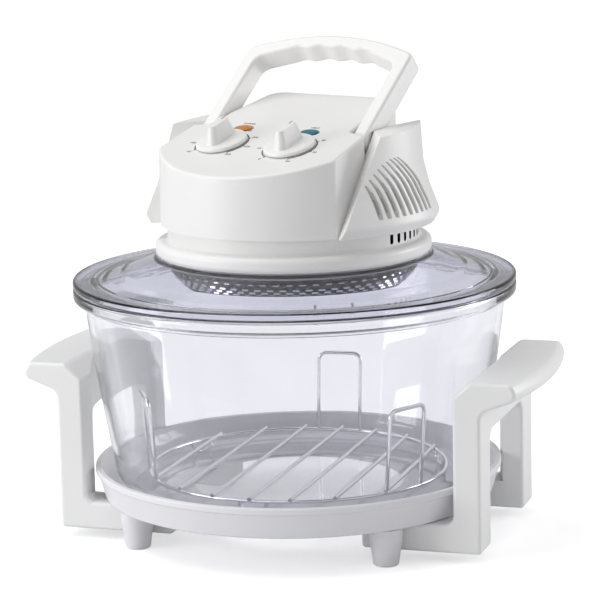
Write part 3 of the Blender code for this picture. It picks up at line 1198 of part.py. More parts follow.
cooling_fan_bottom = MOTOR_TOP + FAN_CLEARANCE
hot_fan_top = REFLECTOR_UNDERSIDE - FAN_CLEARANCE
shaft_top = cooling_fan_bottom + FAN_HUB_HEIGHT + FAN_CLEARANCE / 2
shaft_bottom = hot_fan_top - FAN_HUB_HEIGHT - FAN_CLEARANCE / 2
rotor_room = FAN_DISC / 2
turned("motor_shaft", [
    (0, shaft_top),
    (SHAFT_RADIUS - rotor_room, shaft_top),
    (SHAFT_RADIUS, shaft_top - rotor_room),
    (SHAFT_RADIUS, stack_top - rotor_room),
    (ROTOR_RADIUS, stack_top - rotor_room),
    (ROTOR_RADIUS, stack_bottom + rotor_room),
    (SHAFT_RADIUS, stack_bottom + rotor_room),
    (SHAFT_RADIUS, shaft_bottom + rotor_room),
    (SHAFT_RADIUS - rotor_room, shaft_bottom),
    (0, shaft_bottom),
], "motor_steel", head_turn, segments=PIN_SEGMENTS, closed=False)


def fan_piece(name, radius, height, hub_base, side_sign):
    """A fan with its disc at hub_base and its blades standing up from it, or hanging if side_sign is -1."""
    wheel = turned("fan_wheel", [
        (radius, FAN_DISC),
        (radius, 0),
        (SHAFT_RADIUS + SEAT_GAP, 0),
        (SHAFT_RADIUS + SEAT_GAP, FAN_HUB_HEIGHT),
        (FAN_HUB_RADIUS, FAN_HUB_HEIGHT),
        (FAN_HUB_RADIUS, FAN_DISC),
    ], "sheet_metal", cutter=True, segments=SMALL_SEGMENTS + PIN_SEGMENTS // 2)
    blade_bmeshes = []
    for i in range(FAN_BLADE_COUNT):
        blade = box_bmesh(
            (-FAN_BLADE / 2, FAN_HUB_RADIUS - FAN_BLADE / 2, FAN_DISC / 2),
            (FAN_BLADE / 2, radius - FAN_BLADE, height),
        )
        turn = Matrix.Rotation(math.tau * i / FAN_BLADE_COUNT, 3, "Z")
        bmesh.ops.rotate(blade, matrix=turn, verts=blade.verts)
        blade_bmeshes.append(blade)
    blades = merged_cutter("fan_blades", blade_bmeshes)
    fan = taken_bmesh(joined("fan", wheel, [blades], "sheet_metal", cutter=True))
    if side_sign < 0:
        bmesh.ops.rotate(fan, matrix=Matrix.Rotation(math.pi, 3, "X"), verts=fan.verts)
    bmesh.ops.translate(fan, vec=(0, 0, hub_base), verts=fan.verts)
    return add_bmesh(name, fan, "sheet_metal", head_turn)


fan_piece("cooling_fan", COOLING_FAN_RADIUS, COOLING_FAN_HEIGHT, cooling_fan_bottom, 1)
fan_piece("hot_air_fan", HOT_FAN_RADIUS, HOT_FAN_HEIGHT, hot_fan_top, -1)

# Controls: a clockwork timer and a thermostat under the panel, each with its own knob
body_top = -HOUSING_WALL - SEAT_GAP
stem_end = body_top - KNOB_STEM_ENTRY
for name, side_sign in (("timer", 1), ("thermostat", -1)):
    dial_place = (side_sign * DIAL_PLACE_X, PANEL_CENTRE_Y, PANEL_CENTRE_HEIGHT)
    dial = make_empty(name + "_axis", dial_place, (PANEL_SLOPE, 0, 0), head_turn)
    body = box_bmesh(
        (-CONTROL_BODY_X / 2, -CONTROL_BODY_Y / 2, body_top - CONTROL_BODY_DEPTH),
        (CONTROL_BODY_X / 2, CONTROL_BODY_Y / 2, body_top),
    )
    upright = [edge for edge in body.edges if abs(edge.verts[0].co.z - edge.verts[1].co.z) > CUT_OVERRUN]
    bevel_edges(body, upright, CONTROL_BODY_EDGE, 2)
    body = add_bmesh(name + "_solid", body, "control_plastic", cutter=True)
    stem_room = add_bmesh(name + "_stem_room", cylinder_bmesh(
        KNOB_STEM_RADIUS + KNOB_STEM_ROOM, stem_end - KNOB_STEM_ROOM, body_top + CUT_OVERRUN,
    ), "cutter", cutter=True)
    joined(name + "_body", body, [stem_room], "control_plastic", dial, "DIFFERENCE")
    edge = KNOB_SKIRT_THICKNESS / 2
    skirt_top = KNOB_LIFT + KNOB_SKIRT_THICKNESS
    skirt = turned(name + "_skirt", [
        (0, skirt_top),
        (KNOB_SKIRT_RADIUS - edge, skirt_top),
        (KNOB_SKIRT_RADIUS, skirt_top - edge),
        (KNOB_SKIRT_RADIUS, KNOB_LIFT),
        (KNOB_STEM_RADIUS, KNOB_LIFT),
        (KNOB_STEM_RADIUS, stem_end),
        (0, stem_end),
    ], "white_plastic", cutter=True, segments=SMALL_SEGMENTS + PIN_SEGMENTS // 2, closed=False)
    knob_top = KNOB_LIFT + KNOB_GRIP_HEIGHT
    ridge = box_bmesh(
        (-KNOB_GRIP_WIDTH / 2, -KNOB_GRIP_RADIUS, KNOB_LIFT + edge),
        (KNOB_GRIP_WIDTH / 2, KNOB_GRIP_RADIUS, knob_top),
    )
    for vert in ridge.verts:
        if vert.co.z > skirt_top:
            vert.co.x *= KNOB_GRIP_TAPER_SHARE
            vert.co.y *= KNOB_GRIP_TAPER_SHARE
    bevel_edges(ridge, [e for e in ridge.edges if max(v.co.z for v in e.verts) > skirt_top], edge)
    ridge = add_bmesh(name + "_ridge", ridge, "white_plastic", cutter=True)
    joined(name + "_knob", skirt, [ridge], "white_plastic", dial)


def stacked_bmesh(rings):
    """A closed solid from oval rings, each given as (height, half length, half width)."""
    bm = bmesh.new()
    loops = []
    for height, half_length, half_width in rings:
        outline = oval_points(half_length, half_width)
        loops.append([bm.verts.new((x, y, height)) for x, y in outline])
    bm.faces.new(list(reversed(loops[0])))
    bm.faces.new(loops[-1])
    for loop, following in zip(loops, loops[1:]):
        for i in range(len(loop)):
            j = (i + 1) % len(loop)
            bm.faces.new((loop[i], loop[j], following[j], following[i]))
    bmesh.ops.recalc_face_normals(bm, faces=bm.faces)
    return bm


# Lenses of the power lamp and the heat lamp, pressed through oval holes in the panel
for name, side_sign, material in (("power_lens", -1, "amber_lens"), ("heat_lens", 1, "teal_lens")):
    plug_length = LENS_HALF_LENGTH - LENS_FLANGE
    plug_width = LENS_HALF_WIDTH - LENS_FLANGE
    lens = stacked_bmesh([
        (-LENS_DEPTH, plug_length, plug_width),
        (SEAT_GAP, plug_length, plug_width),
        (SEAT_GAP, LENS_HALF_LENGTH, LENS_HALF_WIDTH),
        (LENS_RISE / 2, LENS_HALF_LENGTH, LENS_HALF_WIDTH),
        (LENS_RISE, plug_length, plug_width),
    ])
    add_bmesh(name, on_panel(lens, side_sign * LENS_PLACE_X, LENS_PLACE_Y), material, head_turn)

# Carry handle: an arch with finger scallops that folds back on two pins
handle_pivot = make_empty("handle_pivot", pivot_place, (-GRIP_LEAN, 0, 0), head_turn)
GRIP_ARCH_STEPS = 10
SCALLOP_STEPS = 4


def grip_reach(x):
    """The arch's outer edge: how far from the pivot it is, at a distance from the middle."""
    return GRIP_TOP_REACH - (GRIP_TOP_REACH - GRIP_SHOULDER_REACH) * (x / GRIP_HALF_WIDTH) ** 2


def grip_inner(x):
    """The arch's inner edge, with the scallops for the fingers."""
    scallop = 0
    if abs(x) < GRIP_SCALLOP_PITCH * GRIP_SCALLOP_COUNT / 2:
        scallop = GRIP_SCALLOP_DEPTH * math.sin(math.pi * x / GRIP_SCALLOP_PITCH) ** 2
    return grip_reach(x) - GRIP_BAR_THICKNESS + scallop


arm_inner = GRIP_HALF_WIDTH - GRIP_ARM_WIDTH
arch_start = GRIP_HALF_WIDTH - GRIP_CORNER_ROUND
grip_outline = [(GRIP_HALF_WIDTH, -GRIP_END_RADIUS)]
grip_outline += arc_points(
    (arch_start, grip_reach(arch_start) - GRIP_CORNER_ROUND), GRIP_CORNER_ROUND, 0, 60, 3,
)
for i in range(GRIP_ARCH_STEPS + 1):
    x = (arch_start - GRIP_CORNER_ROUND / 4) * (1 - 2 * i / GRIP_ARCH_STEPS)
    grip_outline.append((x, grip_reach(x)))
grip_outline += [(-x, z) for x, z in reversed(grip_outline[1:5])]
grip_outline += [(-GRIP_HALF_WIDTH, -GRIP_END_RADIUS), (-arm_inner, -GRIP_END_RADIUS)]
inner_round = GRIP_CORNER_ROUND * 2
scallop_half = GRIP_SCALLOP_PITCH * GRIP_SCALLOP_COUNT / 2
inner_corner = (-arm_inner + inner_round, grip_inner(arm_inner - inner_round) - inner_round)
inner_side = arc_points(inner_corner, inner_round, 180, 90, 3)
grip_outline += inner_side
scallop_points = GRIP_SCALLOP_COUNT * SCALLOP_STEPS
for i in range(scallop_points + 1):
    x = scallop_half * (2 * i / scallop_points - 1)
    grip_outline.append((x, grip_inner(x)))
grip_outline += [(-x, z) for x, z in reversed(inner_side)]
grip_outline += [(arm_inner, -GRIP_END_RADIUS)]
half_depth = GRIP_DEPTH / 2
arch_bmesh = prism_bmesh(grip_outline, -half_depth, half_depth, "Y")
arch = add_bmesh("arch", arch_bmesh, "white_plastic", cutter=True)
end_side = arc_points((0, 0), half_depth, 180, 360, 8)
end_side += [(half_depth, GRIP_TOP_REACH + CUT_OVERRUN), (-half_depth, GRIP_TOP_REACH + CUT_OVERRUN)]
side_width = GRIP_HALF_WIDTH + CUT_OVERRUN
side_bmesh = prism_bmesh(end_side, -side_width, side_width, "X")
side_view = add_bmesh("side_view", side_bmesh, "cutter", cutter=True)
grip = taken_bmesh(joined("grip", arch, [side_view], "white_plastic", operation="INTERSECT", cutter=True))
sharp_angle = math.radians(GRIP_SHARP_DEG)
sharp = [edge for edge in grip.edges if edge.is_manifold and edge.calc_face_angle() > sharp_angle]
bevel_edges(grip, sharp, GRIP_EDGE, 1)
grip = add_bmesh("grip", grip, "white_plastic", cutter=True)
head_recess_x = GRIP_HALF_WIDTH - PIVOT_HEAD_THICKNESS - SEAT_GAP
pin_rooms = []
for side_sign in (1, -1):
    for radius, low, high in (
        (PIVOT_PIN_RADIUS + SEAT_GAP, arm_inner - CUT_OVERRUN, GRIP_HALF_WIDTH + CUT_OVERRUN),
        (PIVOT_HEAD_RADIUS + SEAT_GAP, head_recess_x - SEAT_GAP, GRIP_HALF_WIDTH + CUT_OVERRUN / 2),
    ):
        room = cylinder_bmesh(radius, low, high, SMALL_SEGMENTS)
        turn = Matrix.Rotation(side_sign * math.pi / 2, 3, "Y")
        bmesh.ops.rotate(room, matrix=turn, verts=room.verts)
        pin_rooms.append(add_bmesh("pin_room", room, "cutter", cutter=True))
joined("carry_handle", grip, pin_rooms, "white_plastic", handle_pivot, "DIFFERENCE")

# Handle pins: from inside the housing's side walls, through the arms, to a head in each arm
for side_name, side_sign in (("right", 1), ("left", -1)):
    pin = taken_bmesh(turned("pin", [
        (0, head_recess_x + PIVOT_HEAD_THICKNESS),
        (PIVOT_HEAD_RADIUS, head_recess_x + PIVOT_HEAD_THICKNESS),
        (PIVOT_HEAD_RADIUS, head_recess_x),
        (PIVOT_PIN_RADIUS, head_recess_x),
        (PIVOT_PIN_RADIUS, pivot_wall_x - HOUSING_WALL - PIVOT_PIN_TAIL),
        (0, pivot_wall_x - HOUSING_WALL - PIVOT_PIN_TAIL),
    ], "motor_steel", cutter=True, segments=PIN_SEGMENTS, closed=False))
    bmesh.ops.rotate(pin, matrix=Matrix.Rotation(side_sign * math.pi / 2, 3, "Y"), verts=pin.verts)
    bmesh.ops.translate(pin, vec=pivot_place, verts=pin.verts)
    add_bmesh("handle_pin_" + side_name, pin, "motor_steel", head_turn)

# Safety switch: its plunger stands in the left arm's groove, where the folded handle presses it
switch_top = GROOVE_FLOOR - HOUSING_WALL - SEAT_GAP
switch_axis = make_empty("switch_axis", (switch_x, SWITCH_PLACE_Y, GROOVE_FLOOR), parent=head_turn)
switch_low = switch_top - SWITCH_HEIGHT - GROOVE_FLOOR
switch_high = switch_top - GROOVE_FLOOR
switch_body = add_bmesh("switch_body", box_bmesh(
    (-SWITCH_WIDTH / 2, -SWITCH_LENGTH / 2, switch_low),
    (SWITCH_WIDTH / 2, SWITCH_LENGTH / 2, switch_high),
), "control_plastic", cutter=True)
plunger_end = switch_high - PLUNGER_ENTRY
plunger_travel = PLUNGER_RISE
plunger_room = add_bmesh("plunger_room", cylinder_bmesh(
    PLUNGER_RADIUS + SEAT_GAP, plunger_end - plunger_travel - PLUNGER_ROOM, switch_high + SHEET,
), "cutter", cutter=True)
joined("safety_switch", switch_body, [plunger_room], "control_plastic", switch_axis, "DIFFERENCE")
plunger = cylinder_bmesh(PLUNGER_RADIUS, plunger_end, PLUNGER_RISE)
add_bmesh("switch_plunger", plunger, "ceramic", switch_axis)

# Cord gland: a flanged bush through the back wall
gland = taken_bmesh(turned("gland", [
    (GLAND_FLANGE_RADIUS - GLAND_FLANGE_THICKNESS / 2, GLAND_FLANGE_THICKNESS),
    (GLAND_FLANGE_RADIUS, GLAND_FLANGE_THICKNESS / 2),
    (GLAND_FLANGE_RADIUS, SEAT_GAP),
    (GLAND_RADIUS, SEAT_GAP),
    (GLAND_RADIUS, -GLAND_INSIDE_LENGTH),
    (GLAND_BORE_RADIUS, -GLAND_INSIDE_LENGTH),
    (GLAND_BORE_RADIUS, GLAND_FLANGE_THICKNESS),
], "control_plastic", cutter=True, segments=SMALL_SEGMENTS))
bmesh.ops.rotate(gland, matrix=gland_turn, verts=gland.verts)
bmesh.ops.translate(gland, vec=gland_place, verts=gland.verts)
add_bmesh("cord_gland", gland, "control_plastic", head_turn)
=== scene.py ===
import json
import math

import bmesh
import bpy
from mathutils import Matrix, Vector


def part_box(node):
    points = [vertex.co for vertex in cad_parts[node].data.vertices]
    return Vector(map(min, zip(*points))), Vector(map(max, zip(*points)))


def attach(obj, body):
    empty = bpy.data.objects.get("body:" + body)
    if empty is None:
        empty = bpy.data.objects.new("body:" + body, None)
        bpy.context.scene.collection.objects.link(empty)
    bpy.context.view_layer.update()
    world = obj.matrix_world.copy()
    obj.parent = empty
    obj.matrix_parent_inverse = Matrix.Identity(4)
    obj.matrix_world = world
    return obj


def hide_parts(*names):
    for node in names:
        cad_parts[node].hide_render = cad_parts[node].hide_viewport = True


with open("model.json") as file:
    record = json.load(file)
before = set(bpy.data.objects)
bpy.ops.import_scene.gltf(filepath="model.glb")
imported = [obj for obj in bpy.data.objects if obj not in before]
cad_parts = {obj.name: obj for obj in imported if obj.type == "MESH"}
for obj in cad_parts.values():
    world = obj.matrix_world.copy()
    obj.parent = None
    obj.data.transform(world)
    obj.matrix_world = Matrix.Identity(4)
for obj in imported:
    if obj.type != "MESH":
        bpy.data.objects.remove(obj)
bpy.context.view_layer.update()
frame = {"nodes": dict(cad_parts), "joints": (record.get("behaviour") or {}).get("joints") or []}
joints = {joint["name"]: joint for joint in frame["joints"]}

# Camera, at the height and angle from which the oven is seen: a long lens, tilted a little down.
def new_object(name, data):
    """Put an object in the scene."""
    thing = bpy.data.objects.new(name, data)
    bpy.context.scene.collection.objects.link(thing)
    return thing


camera_azimuth = math.radians(18.4)
camera_aim = math.radians(18.29)
camera_distance = 1.93
camera_height = 0.5375
camera_pitch = math.radians(10.8)
camera_roll = math.radians(-1.3)
camera_data = bpy.data.cameras.new("studio_camera")
camera_data.sensor_width = 36.0
camera_data.lens = 159.7
camera = new_object("studio_camera", camera_data)
bpy.context.scene.camera = camera
camera_place = Matrix.Rotation(camera_azimuth, 3, "Z") @ Vector((0, -camera_distance, camera_height))
camera_tilt = Matrix.Rotation(math.pi / 2 - camera_pitch, 4, "X") @ Matrix.Rotation(camera_roll, 4, "Z")
camera.matrix_world = Matrix.Translation(camera_place) @ Matrix.Rotation(camera_aim, 4, "Z") @ camera_tilt
bpy.context.scene.view_settings.view_transform = "Standard"

# Studio: a room that is white where it is seen, straight or through glass, and softer on the object
# itself, over a white floor that keeps the oven's shadow.
def feed(tree, node, inputs):
    """Set a node's inputs to constants, or link them to other nodes' outputs."""
    for key, value in inputs.items():
        if isinstance(value, bpy.types.NodeSocket):
            tree.links.new(value, node.inputs[key])
        else:
            node.inputs[key].default_value = value
    return node


def add_node(tree, kind, inputs, **settings):
    """Add a shader node with its settings and inputs."""
    node = tree.nodes.new("ShaderNode" + kind)
    for key, value in settings.items():
        setattr(node, key, value)
    return feed(tree, node, inputs)


def either_ray(tree, first="Is Camera Ray", second="Is Transmission Ray"):
    """One on two kinds of ray, nought on all others."""
    rays = add_node(tree, "LightPath", {})
    found = {0: rays.outputs[first], 1: rays.outputs[second]}
    return add_node(tree, "Math", found, operation="MAXIMUM").outputs[0]


def as_mesh(name, bm):
    """Turn a bmesh that is done with into a mesh."""
    mesh = bpy.data.meshes.new(name)
    bm.to_mesh(mesh)
    bm.free()
    return mesh


def new_material(name):
    """A fresh material, with its nodes and its shader."""
    material = bpy.data.materials.new(name)
    material.use_nodes = True
    return material, material.node_tree, material.node_tree.nodes["Principled BSDF"]


white = (1.0, 1.0, 1.0, 1.0)
world = bpy.data.worlds.new("white_room")
bpy.context.scene.world = world
world.use_nodes = True
tree = world.node_tree
strength = add_node(tree, "MapRange", {
    "Value": either_ray(tree), "To Min": 0.47, "To Max": 1.0,
})
feed(tree, tree.nodes["Background"], {"Color": white, "Strength": strength.outputs["Result"]})

floor_bmesh = bmesh.new()
bmesh.ops.create_circle(floor_bmesh, cap_ends=True, segments=64, radius=6.0)
floor = new_object("studio_floor", as_mesh("studio_floor", floor_bmesh))
floor_white, tree, floor_shader = new_material("studio_floor_white")
where = add_node(tree, "TexCoord", {})
far = add_node(tree, "VectorMath", {0: where.outputs["Object"]}, operation="LENGTH")
# The floor glows less near the oven and more far off: painted shade round the oven, while the far floor
# meets the white backdrop.
brighter = add_node(tree, "MapRange", {
    "Value": far.outputs["Value"], "From Min": 0.3, "From Max": 2.4, "To Min": 0.5, "To Max": 0.66,
})
floor_glow = add_node(tree, "Math", {
    0: either_ray(tree), 1: brighter.outputs["Result"],
}, operation="MULTIPLY")
feed(tree, floor_shader, {
    "Base Color": (0.8, 0.8, 0.81, 1.0), "Roughness": 0.9, "Specular IOR Level": 0.0,
    "Emission Color": white, "Emission Strength": floor_glow.outputs[0],
})
floor.data.materials.append(floor_white)

lamp_aim = Vector((0, 0, 0.18))
for name, spot, size, power in (
    ("overhead_softbox", (-0.7, -0.2, 1.9), 1.5, 16.0),
    ("left_softbox", (-1.8, -1.3, 0.5), 1.2, 21.0),
    ("right_softbox", (1.6, 1.1, 0.6), 1.0, 14.0),
):
    lamp_data = bpy.data.lights.new(name, "AREA")
    lamp_data.shape = "SQUARE"
    lamp_data.size = size
    lamp_data.energy = power
    turn = (lamp_aim - Vector(spot)).to_track_quat("-Z", "Y").to_matrix().to_4x4()
    new_object(name, lamp_data).matrix_world = Matrix.Translation(spot) @ turn


# Stand ring: a shallow white plastic tray with an open middle, moulded in one piece, with a lip
# round its top edge and a low rib that centres the glass bowl.
def noise(tree, inputs, stretch=(1, 1, 1)):
    """A noise over the piece itself, squeezed along its axes, from nought to one."""
    where = add_node(tree, "TexCoord", {})
    squeeze = add_node(tree, "Mapping", {"Vector": where.outputs["Object"], "Scale": stretch})
    return add_node(tree, "TexNoise", {"Vector": squeeze.outputs["Vector"], **inputs}).outputs["Fac"]


def clouded(tree, clouds, colour, shade, smooth, rough):
    """Let a noise drift a material's colour and its roughness between two values."""
    tint_ends = {"A": (*colour, 1.0), "B": (*shade, 1.0)}
    tint = add_node(tree, "Mix", {"Factor": clouds, **tint_ends}, data_type="RGBA")
    polish = add_node(tree, "MapRange", {"Value": clouds, "To Min": smooth, "To Max": rough})
    feed(tree, tree.nodes["Principled BSDF"], {
        "Base Color": tint.outputs["Result"], "Roughness": polish.outputs["Result"],
    })


def bumped(tree, height, strength, distance):
    """Let a noise raise a material's surface a little."""
    bump = add_node(tree, "Bump", {"Height": height, "Strength": strength, "Distance": distance})
    feed(tree, tree.nodes["Principled BSDF"], {"Normal": bump.outputs["Normal"]})


def plastic(name, colour, shade, gloss, grain=900.0):
    """Glossy moulded plastic: faint clouding of colour and gloss, and a very fine orange peel."""
    material, tree, shader = new_material(name)
    feed(tree, shader, {"IOR": 1.49})
    clouded(tree, noise(tree, {"Scale": 14.0, "Detail": 3.0}), colour, shade, gloss - 0.05, gloss + 0.05)
    bumped(tree, noise(tree, {"Scale": grain}), 0.05, 0.0002)
    return material


def rounded(corners, steps=5):
    """An outline through (across, up, radius) corners, each rounded by an arc of its radius."""
    points = []
    for i, (across, up, radius) in enumerate(corners):
        corner = Vector((across, up))
        if radius == 0:
            points.append(corner)
            continue
        before = (Vector(corners[i - 1][:2]) - corner).normalized()
        after = (Vector(corners[(i + 1) % len(corners)][:2]) - corner).normalized()
        half = before.angle(after) / 2
        centre = corner + (before + after).normalized() * radius / math.sin(half)
        start = corner + before * radius / math.tan(half) - centre
        end = corner + after * radius / math.tan(half) - centre
        for step in range(steps + 1):
            share = step / steps
            points.append(centre + (start * (1 - share) + end * share).normalized() * radius)
    return points


def faced(bm):
    """Point every face outwards."""
    bmesh.ops.recalc_face_normals(bm, faces=bm.faces)
    return bm


def merged(bm):
    """Merge corners that double."""
    bmesh.ops.remove_doubles(bm, verts=bm.verts, dist=merge_distance)
    return bm


def spun(points, segments=144):
    """Turn an outline of (radius, height) points about the upright axis; one that starts there is open."""
    bm = bmesh.new()
    verts = [bm.verts.new((radius, 0, height)) for radius, height in points]
    edges = [bm.edges.new(pair) for pair in zip(verts, verts[1:])]
    if points[0][0] > 0:
        edges.append(bm.edges.new((verts[-1], verts[0])))
    bmesh.ops.spin(
        bm, geom=verts + edges, axis=(0, 0, 1), angle=math.tau, steps=segments, use_merge=True,
    )
    return faced(merged(bm))


def finished_mesh(thing):
    """An object's mesh with its modifiers applied."""
    bpy.context.view_layer.update()
    graph = bpy.context.evaluated_depsgraph_get()
    return bpy.data.meshes.new_from_object(thing.evaluated_get(graph), depsgraph=graph)


def add_piece(name, bm, body, material, slot, replaced=None, sharp_deg=32.0):
    """Put a finished mesh in the scene, shaded so that flat faces stay flat, as a piece of a body."""
    mesh = as_mesh(name, bm)
    mesh.materials.append(material)
    mesh.shade_smooth()
    mesh.set_sharp_from_angle(angle=math.radians(sharp_deg))
    piece = new_object(name, mesh)
    piece.modifiers.new("flatter", "WEIGHTED_NORMAL").keep_sharp = True
    piece.data = finished_mesh(piece)
    piece.modifiers.clear()
    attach(piece, body)
    if replaced:
        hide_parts(replaced)
    return piece


merge_distance = 0.000002
white_stand = plastic("white_stand_plastic", (0.85, 0.845, 0.87), (0.81, 0.805, 0.84), 0.36)
ring_low, ring_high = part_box("stand_ring")
bowl_low, bowl_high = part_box("glass_bowl")
tray_floor = bowl_low.z - 0.0003
foot_edge = ring_high.x - 0.0068
rib_radius = 0.1232
rib_height = 0.0024
opening_radius = 0.078
add_piece("stand_ring_tray", spun(rounded([
    (ring_high.x, ring_high.z, 0.0012),
    (ring_high.x, ring_high.z - 0.0042, 0.0008),
    (ring_high.x - 0.0016, ring_high.z - 0.0056, 0.0005),
    (foot_edge, ring_low.z, 0.0024),
    (opening_radius, ring_low.z, 0.0008),
    (opening_radius, tray_floor, 0.0008),
    (rib_radius, tray_floor, 0.0),
    (rib_radius + 0.0004, tray_floor + rib_height, 0.0006),
    (rib_radius + 0.0022, tray_floor + rib_height, 0.0006),
    (rib_radius + 0.0026, tray_floor, 0.0),
    (foot_edge - 0.0031, tray_floor, 0.0022),
    (ring_high.x - 0.0046, ring_high.z, 0.0012),
])), "stand", white_stand, "white_plastic", "stand_ring")

# Feet: four tapered white plastic feet, screwed up into the ring from below through a recess.
def shifted(bm, offset):
    """Move a mesh."""
    bmesh.ops.translate(bm, vec=offset, verts=bm.verts)
    return bm


recess_radius = 0.004
recess_depth = 0.006
for corner in ("front_left", "front_right", "rear_left", "rear_right"):
    foot_low, foot_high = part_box("foot_" + corner)
    foot_middle = (foot_low + foot_high) / 2
    foot_radius = (foot_high.x - foot_low.x) / 2
    foot_bmesh = spun(rounded([
        (0, foot_high.z, 0),
        (foot_radius, foot_high.z, 0.0006),
        (foot_radius, foot_high.z - 0.006, 0.003),
        (foot_radius - 0.003, 0, 0.0016),
        (recess_radius, 0, 0.0005),
        (recess_radius, recess_depth, 0),
        (0, recess_depth, 0),
    ]), 48)
    shifted(foot_bmesh, (foot_middle.x, foot_middle.y, 0))
    foot_name = "foot_" + corner
    add_piece(foot_name + "_moulded", foot_bmesh, "stand", white_stand, "white_plastic", foot_name)


# Side handles: two white plastic carrying handles, each a bowed grip on two posts whose arms run
# in under the ring, where screws hold them. Both are the same moulding, one turned round.
def lofted(outlines):
    """A solid carried through outlines of equal counts, each a list of places."""
    bm = bmesh.new()
    face = bm.faces.new([bm.verts.new(place) for place in outlines[0]])
    for i, (before, after) in enumerate(zip(outlines, outlines[1:])):
        inner = [face] if i else []
        extruded = bmesh.ops.extrude_face_region(bm, geom=[face])
        face = next(item for item in extruded["geom"] if isinstance(item, bmesh.types.BMFace))
        bmesh.ops.delete(bm, geom=inner, context="FACES_ONLY")
        for vert in face.verts:
            nearest = min(range(len(before)), key=lambda j: (vert.co - before[j]).length_squared)
            vert.co = after[nearest]
    return faced(merged(bm))


def slab(points, low, high, axis="Z"):
    """A flat outline of (across, up) points given a thickness along an axis."""
    order = {"X": (2, 0, 1), "Y": (0, 2, 1), "Z": (0, 1, 2)}[axis]
    return lofted([
        [Vector([(across, up, height)[k] for k in order]) for across, up in points] for height in (low, high)
    ])


def carved(bm, cutters, bevel=0.0, bevel_deg=30.0, segments=3, operation="DIFFERENCE", solver="EXACT"):
    """Cut or join solids, round the sharp edges that are left, and return the finished mesh."""
    working = [new_object("working", as_mesh("working", solid)) for solid in (bm, *cutters)]
    for cutter in working[1:]:
        cut = working[0].modifiers.new("cut", "BOOLEAN")
        cut.operation = operation
        cut.solver = solver
        cut.object = cutter
    if bevel:
        soften = working[0].modifiers.new("soften", "BEVEL")
        soften.width = bevel
        soften.segments = segments
        soften.limit_method = "ANGLE"
        soften.angle_limit = math.radians(bevel_deg)
        soften.use_clamp_overlap = True
    finished = bmesh.new()
    finished.from_mesh(finished_mesh(working[0]))
    for solid in working:
        bpy.data.objects.remove(solid, do_unlink=True)
    return merged(finished)


def turned(bm, angle, axis):
    """Turn a mesh about an axis of the scene."""
    bmesh.ops.rotate(bm, matrix=Matrix.Rotation(angle, 3, axis), verts=bm.verts)
    return bm


handle_low, handle_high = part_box("side_handle_right")
handle_half = handle_high.y
grip_top = handle_high.z
grip_underside = 0.1095
post_outer = 0.16
post_inner = 0.1395
post_width = 0.03
arm_bottom = handle_low.z
arm_top = ring_low.z - 0.0003
bow = 0.009
grip_tip = handle_high.x + 0.0006 - bow
stations = 24
outlines = []
for i in range(stations + 1):
    across = handle_half * (2 * i / stations - 1)
    tip = grip_tip + bow * (1 - (across / handle_half) ** 2)
    section = rounded([
        (handle_low.x, arm_bottom, 0),
        (post_outer, arm_bottom, 0),
        (post_outer, grip_underside, 0.008),
        (tip - 0.00175, grip_underside + 0.009, 0),
        (tip, grip_top - 0.007, 0),
        (tip - 0.004, grip_top, 0),
        (0.1525, grip_top, 0),
        (post_inner, grip_top - 0.011, 0),
        (post_inner, arm_top + 0.004, 0),
        (post_inner - 0.004, arm_top, 0),
        (handle_low.x, arm_top, 0),
    ])
    outlines.append([Vector((x, across, z)) for x, z in section])
opening_half = handle_half - post_width
opening_top = 0.09
handle_opening = slab(rounded([
    (-opening_half, arm_bottom - 0.01, 0),
    (opening_half, arm_bottom - 0.01, 0),
    (opening_half, opening_top, 0.0085),
    (-opening_half, opening_top, 0.0085),
], steps=8), handle_low.x - 0.004, grip_tip + bow, "X")
room_radius = 0.1524
room_top = 0.14
room_bottom = arm_top + 0.0003
bowl_room = spun([
    (0, room_top), (room_radius, room_top), (room_radius, room_bottom), (0, room_bottom),
], 192)
white_handle = plastic("white_handle_plastic", (0.9, 0.9, 0.9), (0.87, 0.87, 0.87), 0.36)
side_handle = carved(lofted(outlines), [handle_opening])
bmesh.ops.dissolve_limit(
    side_handle, angle_limit=math.radians(1.0), verts=side_handle.verts, edges=side_handle.edges,
)
side_handle = carved(carved(side_handle, [], bevel=0.0028, bevel_deg=25.0, segments=4), [bowl_room])
for name, side in (("right", 1), ("left", -1)):
    handle_bmesh = side_handle.copy()
    if side < 0:
        turned(handle_bmesh, math.pi, "Z")
    handle_name = "side_handle_" + name
    add_piece(handle_name + "_moulded", handle_bmesh, "stand", white_handle, "white_plastic", handle_name)
side_handle.free()


# Glass bowl: a deep bowl of pressed heatproof glass, slightly grey in its thickness, with a heavy
# rim and a bead under it. It stands loose in the tray.
def glass(name, colour, wave):
    """Heatproof glass that light passes straight: slow waves in its surface, a faintly uneven polish."""
    material, tree, shader = new_material(name)
    feed(tree, shader, {"Transmission Weight": 1.0, "IOR": 1.47})
    waves = noise(tree, {"Scale": 30.0, "Detail": 1.0})
    clouded(tree, waves, colour, [min(1.0, part * 1.04) for part in colour], 0.0, 0.03)
    bumped(tree, waves, wave, 0.001)
    pale = [part ** 0.1 for part in colour]
    clear = add_node(tree, "BsdfTransparent", {"Color": (*pale, 1.0)})
    through = add_node(tree, "MixShader", {
        0: either_ray(tree, "Is Shadow Ray", "Is Diffuse Ray"),
        1: shader.outputs["BSDF"],
        2: clear.outputs["BSDF"],
    })
    feed(tree, tree.nodes["Material Output"], {"Surface": through.outputs["Shader"]})
    return material


bowl_glass = glass("bowl_glass", (0.81, 0.815, 0.84), 0.12)
glass_wall = 0.0045
rim_radius = bowl_high.x
neck_radius = rim_radius - 0.0085
neck_height = bowl_high.z - 0.011
low_radius = neck_radius - 0.0175
low_height = bowl_low.z + 0.024
floor_radius = low_radius - 0.025
wall_steps = 12
corner_steps = 10


